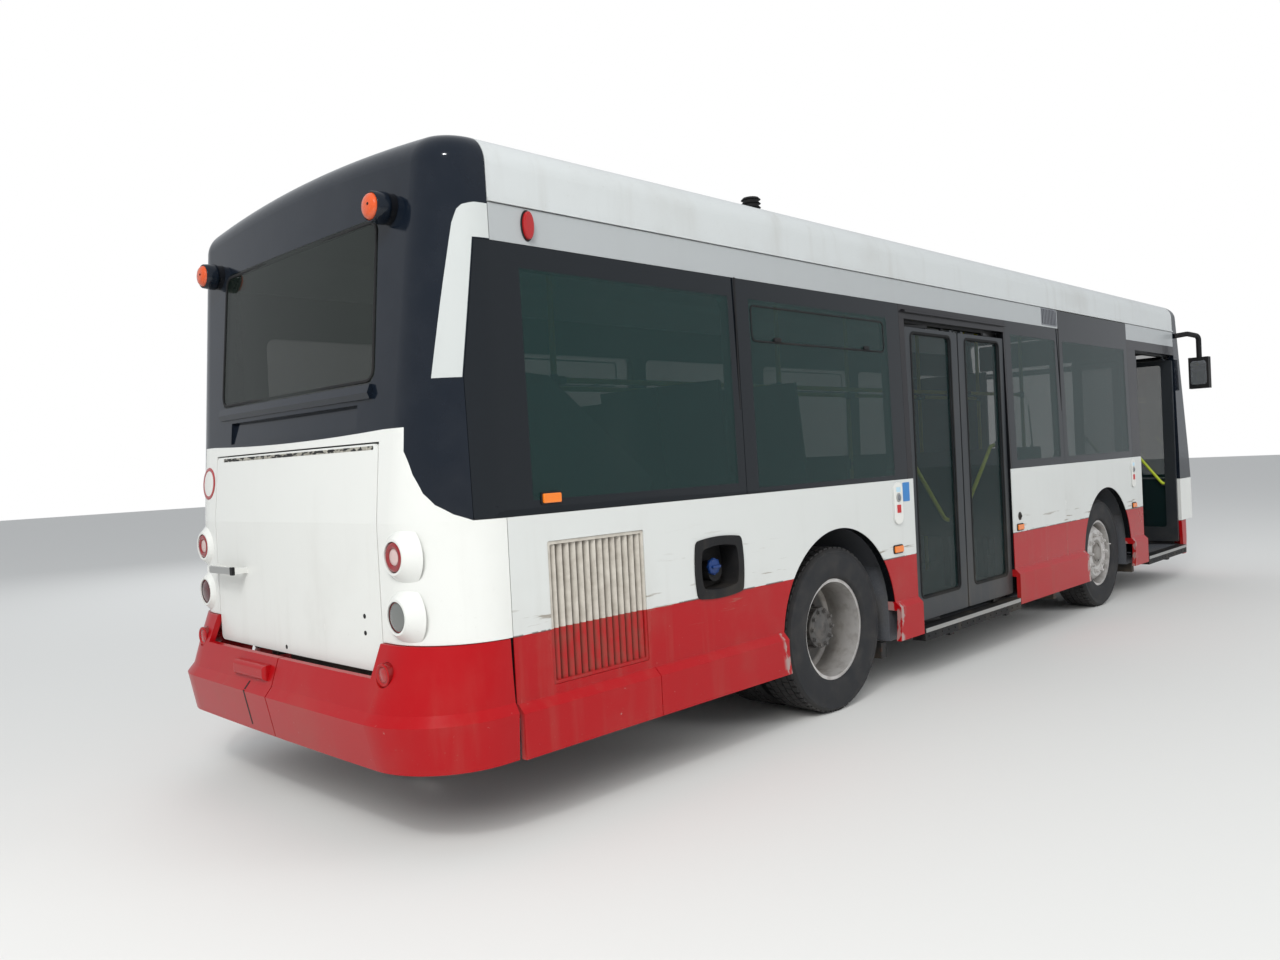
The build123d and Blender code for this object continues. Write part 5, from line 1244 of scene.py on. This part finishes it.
# %% Door push buttons
sticker_blue = coated_tube("sticker_blue", seen(0.20, 0.47, 0.72), 0.4)
sticker_pale = coated_tube("sticker_pale", seen(0.70, 0.82, 0.88), 0.4)
sticker_red = coated_tube("sticker_red", seen(0.72, 0.10, 0.12), 0.4)
button_ring = lathe([(18, 0), (18, 4), (22, 6), (27, 4), (28, 0)], aluminium, 32)
button_cap = lathe([(0, 8), (12, 7.5), (17, 4), (17.5, 0), (0, 0)], panel_grey, 32)
button_square = plate(0.046, 0.050, 0.004, 0.002, sticker_red, 0.0008)
box_rim = plate(0.104, 0.262, 0.047, 0.004, white_plastic, 0.003, 3)
label = plate(0.050, 0.030, 0.004, 0.0012, sticker_pale)
box_places = [(-1.372, 1.170), (3.000, 1.165)]
parts = []
for x, z in box_places:
    seat = from_right("right_wall", x, z)
    button_seat = seat @ shifted(0, 0.035, 0.003)
    parts += [(box_rim, seat @ shifted(z=-0.001)), (button_square, seat @ shifted(0, -0.035, 0.003)),
              (button_ring, button_seat), (button_cap, button_seat), (label, seat @ shifted(0, 0.085, 0.003))]
blue_sticker = plate(0.085, 0.120, 0.008, 0.0012, sticker_blue)
parts.append((blue_sticker, from_right("right_wall", -1.255, 1.235, -0.0002)))
joined("door_buttons", parts, "body")
print("door buttons:", len(box_places))

# %% [markdown]
# The side glass is bonded flush, with black joints of sealant between the sheets. Three sheets have a
# hopper window: an upper pane in its own slim frame, which is a bead, with a latch at each end.

# %% Sheet joints and hopper frames
hopper = framed(matt_black, 1.330, 0.185, 0.030, 0.010, 0.008)
hopper_latch = plate(0.060, 0.022, 0.008, 0.010, matt_black, 0.003)
seal_strip = plate(0.010, 1.100, 0.003, 0.0035, matt_black, 0.001)
parts = [(seal_strip, from_right("side_glazing", x, 1.880, -0.0015)) for x in (-2.887, 1.358)]
hopper_rows = [(from_right, -2.090), (from_left, -2.090), (from_left, 1.150)]
for from_side, x in hopper_rows:
    seat = from_side("side_glazing", x, 2.205, -0.001, level=False)
    parts += [(hopper, seat), (hopper_latch, seat @ shifted(0.45, -0.078, 0.002)),
              (hopper_latch, seat @ shifted(-0.45, -0.078, 0.002))]
joined("glass_fittings", parts, "body")
print("hopper windows:", len(hopper_rows))

# %% [markdown]
# A small grating sits in the cantrail over a dark sheet, which is painted shade standing in for the
# dark inside of the vent, and the filler pocket holds a blue cap on a short neck.

# %% Cantrail grating, filler cap
grating_frame = framed(panel_grey, 0.300, 0.128, 0.006, 0.010, 0.006)
grating_slats = bars(panel_grey, 9, (0.030, 0.0, 0.0), (0.010, 0.116, 0.005))
seat = from_right("right_wall", 1.2025, 2.512, 0.0, level=False)
# A dark sheet under the slats: painted shade in place of the vent's dark inside.
vent_shade_sheet = plate(0.300, 0.128, 0.006, 0.001, cover_grey)
parts = [(grating_frame, seat), (vent_shade_sheet, seat), (grating_slats, seat @ shifted(-0.12, 0, 0.002))]
joined("cantrail_grating", parts, "body")
cap_blue = coated_tube("cap_blue", seen(0.07, 0.20, 0.42), 0.45)
cap_lugs = studs(cap_blue, 8, 0.036, 0.007, 0.016, 10, 1.0)
filler_cap = lathe([(0, 24), (22, 24), (30, 20), (38, 18), (41, 10), (41, 0), (0, 0)], cap_blue, 48)
cap_grip = plate(0.060, 0.014, 0.006, 0.014, cap_blue, 0.004)
seat = from_right("filler_recess", -3.125, 0.970)
parts = [(filler_cap, seat), (cap_lugs, seat), (cap_grip, seat @ shifted(z=0.020))]
joined("filler_cap", parts, "body")
print("filler cap at", rounded_values(seat.translation))

# %% [markdown]
# Each door leaf is an aluminium frame painted dark grey, glazed from outside. A slanting grab bar in
# coated yellow-green crosses its inner side. The bar is part of the leaf's solid, so the paint reads
# how far a point lies behind the leaf's inner face to tell the bar from the frame.

# %% Door leaves
leaf_y = -1.162
leaf_half = 0.018
leaf_low = 0.385
leaf_height = 1.905
open_rear_x = 3.297
open_front_x = 4.438
leaf_rows = [
    # name, side of the doorway, open
    ("middle_door_rear", -1, False),
    ("middle_door_front", 1, False),
    ("front_door_rear", -1, True),
    ("front_door_front", 1, True),
]


def leaf_coat(name, is_open, side):
    """Dark frame paint, and bar paint on the grab bar that stands off the leaf's inner face."""
    r = Recipe(name + "_coat")
    if is_open:
        behind = r.x - (open_rear_x + leaf_half) if side < 0 else (open_front_x - leaf_half) - r.x
    else:
        behind = r.y - (leaf_y + leaf_half)
    bar = behind.over(0.009) * r.z.over(0.97) * r.z.under(1.54)
    worn = r.noise(26, 4).ramp(0.5, 0.8)
    dirt = dirt_clouds(r, 0.3, 1.2, 0.45)
    dark = r.mix(dirt, seen(0.155, 0.17, 0.185), dust)
    colour = r.mix(bar, dark, r.mix(worn * 0.3, seen(0.70, 0.76, 0.20), seen(0.40, 0.40, 0.25)))
    return r.surface(Base_Color=colour, Roughness=dirt * 0.3 + 0.38,
                     Normal=r.bump(r.noise(380, 2), 0.05, 0.0006))


for name, side, is_open in leaf_rows:
    dress(name + "_leaf", leaf_coat(name, is_open, side))

# %% [markdown]
# Black rubber profiles close a leaf: a gasket round its glass, a finger guard along the edge where two
# leaves meet, and a flap at its foot. They are made flat and laid on each leaf with one matrix.

# %% Door rubbers
rubber_black = black_moulding("rubber_black", seen(0.085, 0.088, 0.09), 0.62, 0.0, 0.12, 0.35)


def leaf_frame(name, side, is_open):
    """Matrix of a leaf's outer face: X towards its meeting edge, Y up, Z out; and its size."""
    low, high = (Vector(corner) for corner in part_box(name + "_glass"))
    body_low, body_high = (Vector(corner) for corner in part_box(name + "_leaf"))
    if is_open:
        along = Vector((0, 1, 0))
        outward = Vector((side, 0, 0))
        face = open_rear_x - leaf_half if side < 0 else open_front_x + leaf_half
        glass_middle = Vector((face, (low.y + high.y) / 2, (low.z + high.z) / 2))
        meeting = body_high.y - glass_middle.y
        glass_width = high.y - low.y
    else:
        along = Vector((-side, 0, 0))
        outward = Vector((0, -1, 0))
        glass_middle = Vector(((low.x + high.x) / 2, leaf_y - leaf_half, (low.z + high.z) / 2))
        meeting = body_high.x - glass_middle.x if side < 0 else glass_middle.x - body_low.x
        glass_width = high.x - low.x
    turned = Matrix((along, Vector((0, 0, 1)), outward)).transposed().to_4x4()
    return Matrix.Translation(glass_middle) @ turned, glass_width, high.z - low.z, meeting


for name, side, is_open in leaf_rows:
    place, glass_width, glass_height, meeting = leaf_frame(name, side, is_open)
    glass_low = place.translation.z
    outer_gasket = framed(rubber_black, glass_width + 0.012, glass_height + 0.012, 0.040, 0.016, 0.006)
    inner_gasket = framed(rubber_black, glass_width - 0.004, glass_height - 0.004, 0.034, 0.010, 0.008)
    guard = plate(0.0055, leaf_height - 0.03, 0.002, 0.030, rubber_black, 0.0015)
    foot = plate(meeting * 0.9, 0.010, 0.003, 0.008, rubber_black, 0.0015)
    upward = leaf_low + leaf_height / 2 - glass_low
    parts = [
        (outer_gasket, place @ shifted(z=0.0005)),
        (inner_gasket, place @ shifted(z=-0.013)),
        (guard, place @ shifted(meeting + 0.0022, upward, -0.033)),
        (foot, place @ shifted(meeting * 0.40, leaf_low - glass_low + 0.002, -0.022)),
    ]
    joined(name + "_rubbers", parts, name + "_leaf")
print("door rubbers:", len(leaf_rows), "leaves")

# %% [markdown]
# Below each doorway the step's edge is a black box with a ribbed aluminium nosing and a row of rivets.

# %% Door sills and step nosings
parts = []
for node_x_low, node_x_high in ((-1.154, 0.312), (3.264, 4.471)):
    middle = (node_x_low + node_x_high) / 2
    length = node_x_high - node_x_low - 0.02
    seat = from_right("door_sills", middle, 0.335)
    strip = plate(length, 0.026, 0.003, 0.0035, aluminium, 0.001)
    ribs = bars(aluminium, 4, (0.0, 0.005, 0.0), (length - 0.02, 0.0022, 0.0022))
    rivets = bars(matt_black, int(length / 0.09), (0.09, 0.0, 0.0), (0.011, 0.011, 0.006))
    parts += [(strip, seat), (ribs, seat @ shifted(0, -0.008, 0.0042)),
              (rivets, seat @ shifted(-length / 2 + 0.04, -0.038, 0.001))]
joined("step_nosings", parts, "body")
print("nosings:", len(parts))

# %% [markdown]
# Every seat is a moulded shell with two pads of foam under cloth, one to sit on and one to lean on. A
# pad is grown from one grid: a round-cornered outline, a crown over it, stitched channels pressed into
# the crown, and a welt cord round the rim.

# %% Seat pads
seat_blocks = [
    # rows along the bus, places across it, height of the shells' feet
    ((-3.53,), (0.910, 0.465), 1.220),
    ((-2.87, -2.20), (0.910, 0.465, -0.910, -0.465), 1.220),
    ((0.43, 1.12), (0.910, 0.465), 0.780),
    ((0.52, 1.15), (-0.910, -0.465), 0.780),
    ((3.34,), (0.650,), 0.990),
]
sit_length = 0.356
lean_length = 0.626
lean_middle = 0.356
pad_width = 0.394


def foam_pad(length, thickness, channels, along):
    """A stuffed pad in its own axes: X along the length, Y across, Z up from its flat back."""
    across = 18
    whole = bmesh.new()
    grid = []
    for i in range(along + 1):
        u = -math.cos(math.pi * i / along)
        line = []
        for j in range(across + 1):
            v = -math.cos(math.pi * j / across)
            narrowing = (1 - abs(u) ** 8) ** 0.125
            tapering = (1 - abs(v) ** 8) ** 0.125
            x = u * length / 2 * (0.90 + 0.10 * tapering)
            y = v * pad_width / 2 * (0.90 + 0.10 * narrowing)
            dome = (1 - abs(u) ** 5) ** 0.5 * (1 - abs(v) ** 5) ** 0.5
            crown = dome * (0.66 + 0.34 * (1 - u * u) * (1 - v * v) ** 0.5)
            press = sum(math.exp(-((u - c) / 0.045) ** 2) for c in channels) * 0.16 * dome
            line.append(whole.verts.new((x, y, thickness * (0.10 + 0.90 * crown - press))))
        grid.append(line)
    for i in range(along):
        for j in range(across):
            whole.faces.new((grid[i][j], grid[i + 1][j], grid[i + 1][j + 1], grid[i][j + 1]))
    rim = ([grid[0][j] for j in range(across)] + [grid[i][across] for i in range(along)]
           + [grid[along][j] for j in range(across, 0, -1)] + [grid[i][0] for i in range(along, 0, -1)])
    foot = [whole.verts.new((v.co.x, v.co.y, 0)) for v in rim]
    for i in range(len(rim)):
        j = (i + 1) % len(rim)
        whole.faces.new((rim[i], rim[j], foot[j], foot[i]))
    whole.faces.new(foot)
    return meshed(whole, cloth, smooth=True)


print("seats:", sum(len(xs) * len(ys) for xs, ys, base in seat_blocks))

# %% Welts, and the pads laid on their shells
def welt(length):
    """The cord sewn round a pad's rim."""
    return framed(welt_cloth, pad_width - 0.012, length - 0.012, 0.045, 0.006, 0.006)


welt_cloth = coated_tube("welt_cloth", seen(0.08, 0.10, 0.20), 0.8)
sit_pad = foam_pad(sit_length, 0.046, (-0.32, 0.32), 22)
lean_pad = foam_pad(lean_length, 0.040, (-0.45, 0.0, 0.45), 30)
sit_welt = welt(sit_length)
lean_welt = welt(lean_length)
lean_angle = math.atan2(0.085, lean_length)
on_rim = shifted(z=0.006) @ Matrix.Rotation(math.radians(90), 4, "Z")
upright = Matrix(((-math.sin(lean_angle), 0, math.cos(lean_angle)), (0, -1, 0),
                  (math.cos(lean_angle), 0, math.sin(lean_angle)))).transposed().to_4x4()
sit_parts, lean_parts = [], []
for x, y, base in [(x, y, base) for xs, ys, base in seat_blocks for x in xs for y in ys]:
    sit = shifted(x + 0.242, y, base + 0.028)
    sit_parts += [(sit_pad, sit), (sit_welt, sit @ on_rim)]
    lean = shifted(x - 0.035, y, base + lean_middle) @ upright
    lean_parts += [(lean_pad, lean), (lean_welt, lean @ on_rim)]
sitting = joined("seat_cushions", sit_parts, "body", ["seat_pads"])
leaning = joined("seat_backs", lean_parts, "body")
for made in (sitting, leaning):
    print(made.name, "from", rounded_values(made.bound_box[0]), "to", rounded_values(made.bound_box[6]))

# %% [markdown]
# Sheets of a bus body meet in seams filled with grey mastic. Such a seam is a low ribbon that follows
# the skin, so it is drawn through seats found on the solid itself, one after another.

# %% Roof seams
mastic = coated_tube("mastic", seen(0.50, 0.51, 0.51), 0.6)


def ribbon(seats, width, height, finish):
    """A low strip through a row of seats on a skin, with sloping sides."""
    whole = bmesh.new()
    rings = []
    for i, seat in enumerate(seats):
        before = seats[max(i - 1, 0)].translation
        after = seats[min(i + 1, len(seats) - 1)].translation
        outward = (seat.to_3x3() @ Vector((0, 0, 1))).normalized()
        side = (after - before).normalized().cross(outward) * (width / 2)
        middle = seat.translation
        rings.append([whole.verts.new(p) for p in (
            middle - side - outward * 0.0015, middle - side * 0.7 + outward * height,
            middle + side * 0.7 + outward * height, middle + side - outward * 0.0015)])
    for first, second in zip(rings, rings[1:]):
        for i in range(4):
            j = (i + 1) % 4
            whole.faces.new((first[i], first[j], second[j], second[i]))
    whole.faces.new(list(reversed(rings[0])))
    whole.faces.new(rings[-1])
    return meshed(whole, finish)


seam_xs = (-3.62, -2.42, -1.22, -0.02, 1.18, 2.38, 3.58)
seam_ys = [-1.08 + 2.16 * i / 36 for i in range(37)]
seams = [ribbon([from_above("roof", x, y, level=False) for y in seam_ys], 0.012, 0.0012, mastic)
         for x in seam_xs]
parts = [(seam, None) for seam in seams]
joined("roof_seams", parts, "body")
print("roof seams:", len(parts))

# %% [markdown]
# The roof's hatches are moulded lids with a raised rim and a pair of pull cleats each, which lie on the
# roof's low kerbs. Screws hold their edges.

# %% Hatch rims and screws
hatch_xs = (-2.95, 1.70)
hatch_rim = framed(roof_coat, 0.60, 0.60, 0.07, 0.030, 0.012)
cleat = plate(0.07, 0.030, 0.008, 0.016, matt_black, 0.005)
screw_row = bars(matt_black, 6, (0.10, 0.0, 0.0), (0.010, 0.010, 0.005))
parts = []
quarter_turn = Matrix.Rotation(math.radians(90), 4, "Z")
for x in hatch_xs:
    parts.append((hatch_rim, from_above("roof", x, 0)))
    for y in (-0.21, 0.21):
        parts.append((cleat, from_above("roof", x, y, -0.002)))
        parts.append((screw_row, from_above("roof", x - 0.25, y * 1.25) @ quarter_turn))
joined("hatch_fittings", parts, "body")
print("hatches:", len(hatch_xs))

# %% [markdown]
# The front face has two round lamps on each side: a clear domed lens over a bright bowl, set in a black
# bezel. Beside them sits a small amber indicator. All are turned forms of one kind.

# %% Headlamps and indicators
headlamp_z = 0.72
bowl_silver = bright_metal("bowl_silver", seen(0.80, 0.81, 0.83), 0.12)
lamp_bezel = lathe([(66, -4), (66, 4), (70, 8), (78, 8), (83, 3), (84, -4)], matt_black, 56)
lamp_bowl = lathe([(0, 3), (18, 3), (22, 1.5), (40, 1.8), (60, 4), (65.5, 6), (65.5, -4), (0, -4)],
                   bowl_silver, 56)
lamp_bulb = lathe([(0, 12), (8, 11.5), (13, 8), (15, 2), (0, 2)], head_lens, 32)
indicator = lathe([(0, 12), (16, 11), (27, 7), (33, 1), (33, -4), (0, -4)], amber_lens, 40)
indicator_rim = lathe([(33, -4), (33, 2), (38, 3), (41, -1), (41, -4)], matt_black, 40)
parts = []
for side in (-1, 1):
    for y in (0.86, 0.67):
        seat = from_ahead("headlamps", side * y, headlamp_z)
        parts += [(lamp_bezel, seat), (lamp_bowl, seat), (lamp_bulb, seat)]
    seat = from_ahead("front_panel", side * 0.99, headlamp_z, level=False)
    parts += [(indicator, seat), (indicator_rim, seat)]
joined("headlamp_details", parts, "body")
print("front lamps:", len(parts))

# %% [markdown]
# Behind the upper front glass stands the destination display, a blank dark panel in a frame. The outer
# mirrors have real mirror plates on their rear faces, and the front bumper an air slot with bars over a
# black plate, which is painted shade standing in for the slot's dark inside.

# %% Display, mirror plates, front air slot
mirror_plate = bright_metal("mirror_plate", seen(0.86, 0.88, 0.90), 0.0)
display_screen = plate(1.78, 0.22, 0.01, 0.012, mask_black, 0.003)
display_case = plate(1.90, 0.29, 0.02, 0.060, matt_black, 0.006)
turned_forward = Matrix(((0, 1, 0), (0, 0, 1), (1, 0, 0))).transposed().to_4x4()
display_x = 4.50
display_z = 2.525
display_place = shifted(display_x, 0, display_z) @ turned_forward
parts = [(display_case, display_place), (display_screen, display_place @ shifted(z=0.0605))]
joined("destination_display", parts, "body")
mirror_sheet = plate(0.150, 0.250, 0.030, 0.003, mirror_plate, 0.001)
mirror_rim = framed(matt_black, 0.156, 0.256, 0.032, 0.008, 0.007)
parts = []
for side in (-1, 1):
    seat = from_behind("mirrors", side * 1.345, 2.15)
    parts += [(mirror_sheet, seat), (mirror_rim, seat)]
    print("mirror plate at", rounded_values(seat.translation))
joined("mirror_plates", parts, "body")
# A black plate under the bars: painted shade in place of the slot's dark inside.
slot_shade_plate = plate(0.92, 0.085, 0.030, 0.002, matt_black, 0.0008)
slot_bars = bars(matt_black, 5, (0.0, 0.016, 0.0), (0.86, 0.005, 0.007))
seat = from_ahead("front_bumper", 0, 0.43, level=False)
parts = [(slot_shade_plate, seat), (slot_bars, seat @ shifted(0, -0.032, 0.003))]
joined("front_air_slot", parts, "body")

# %% [markdown]
# In the cabin clamps join the grab rails to the poles, and every second pole carries a box with a stop
# button. A clamp is a short sleeve on the pole with a pair of screws, and one on the rail at each side.

# %% Rail clamps and stop buttons
clamp_grey = black_moulding("clamp_grey", seen(0.16, 0.17, 0.18), 0.4, 0.0, 0.1, 0.1)
sleeve = lathe([(16.5, -30), (22, -30), (23.5, -26), (23.5, 26), (22, 30), (16.5, 30)], clamp_grey, 32)
clamp_screws = studs(aluminium, 2, 0.018, 0.003, 0.004, 6, 1.5)
button_box = plate(0.052, 0.090, 0.014, 0.030, clamp_grey, 0.006, 3)
stop_button = lathe([(0, 7), (10, 6.5), (15, 3), (16, -2), (0, -2)], red_lens, 32)
lying = Matrix.Rotation(math.radians(90), 4, "Y")
rail_rear_x = -3.3
rail_front_x = 2.88
rail_z = 1.985
rail_y = 0.228
button_z = 1.40
pole_rows = [(-3.3, True), (-1.215, False), (0.4, True), (1.64, False), (2.88, True)]
parts = []
for x, has_button in pole_rows:
    for y in (-rail_y, rail_y):
        crossing = shifted(x, y, rail_z)
        parts += [(sleeve, crossing), (clamp_screws, crossing @ lying @ shifted(z=0.022))]
        for reach in (-0.046, 0.046):
            if rail_rear_x < x + reach < rail_front_x:
                parts.append((sleeve, crossing @ shifted(x=reach) @ lying))
        if has_button:
            box = shifted(x, y * 1.09, button_z) @ facing(-1 if y > 0 else 1)
            parts += [(button_box, box), (stop_button, box @ shifted(z=0.031))]
joined("rail_clamps", parts, "body")
print("clamps on", 2 * len(pole_rows), "poles")

# %% [markdown]
# The driver faces a binnacle with round gauges and a row of switches. The engine tower at the back of the
# cabin has an air grille in its front wall.

# %% Driver's gauges, switches and tower grille
gauge_face = black_moulding("gauge_face", seen(0.05, 0.05, 0.06), 0.2, 0.4, 0.0, 0.0)
gauge = lathe([(0, 2), (34, 2), (36, 5), (42, 6), (44, 0), (44, -3), (0, -3)], gauge_face, 40)
gauge_hub = lathe([(0, 6), (4, 5.5), (6, 2), (0, 2)], white_plastic, 20)
switch_row = bars(white_plastic, 8, (0.026, 0.0, 0.0), (0.016, 0.022, 0.010))
parts = []
for y in (0.50, 0.80):
    seat = from_above("dashboard", 4.34, y, level=False)
    parts += [(gauge, seat), (gauge_hub, seat)]
parts.append((switch_row, from_above("dashboard", 4.44, 0.55, level=False) @ quarter_turn.inverted()))
joined("dashboard_fittings", parts, "body")
tower_frame = framed(matt_black, 0.62, 0.32, 0.03, 0.020, 0.010)
tower_bars = bars(matt_black, 11, (0.0, 0.028, 0.0), (0.60, 0.010, 0.008))
seat = mounted("engine_cover", (0, 0.0, 1.35), (-1, 0, 0))
parts = [(tower_frame, seat), (tower_bars, seat @ shifted(0, -0.14, 0.002))]
joined("tower_grille", parts, "body")
print("tower grille at x =", round(seat.translation.x, 3))

# %% [markdown]
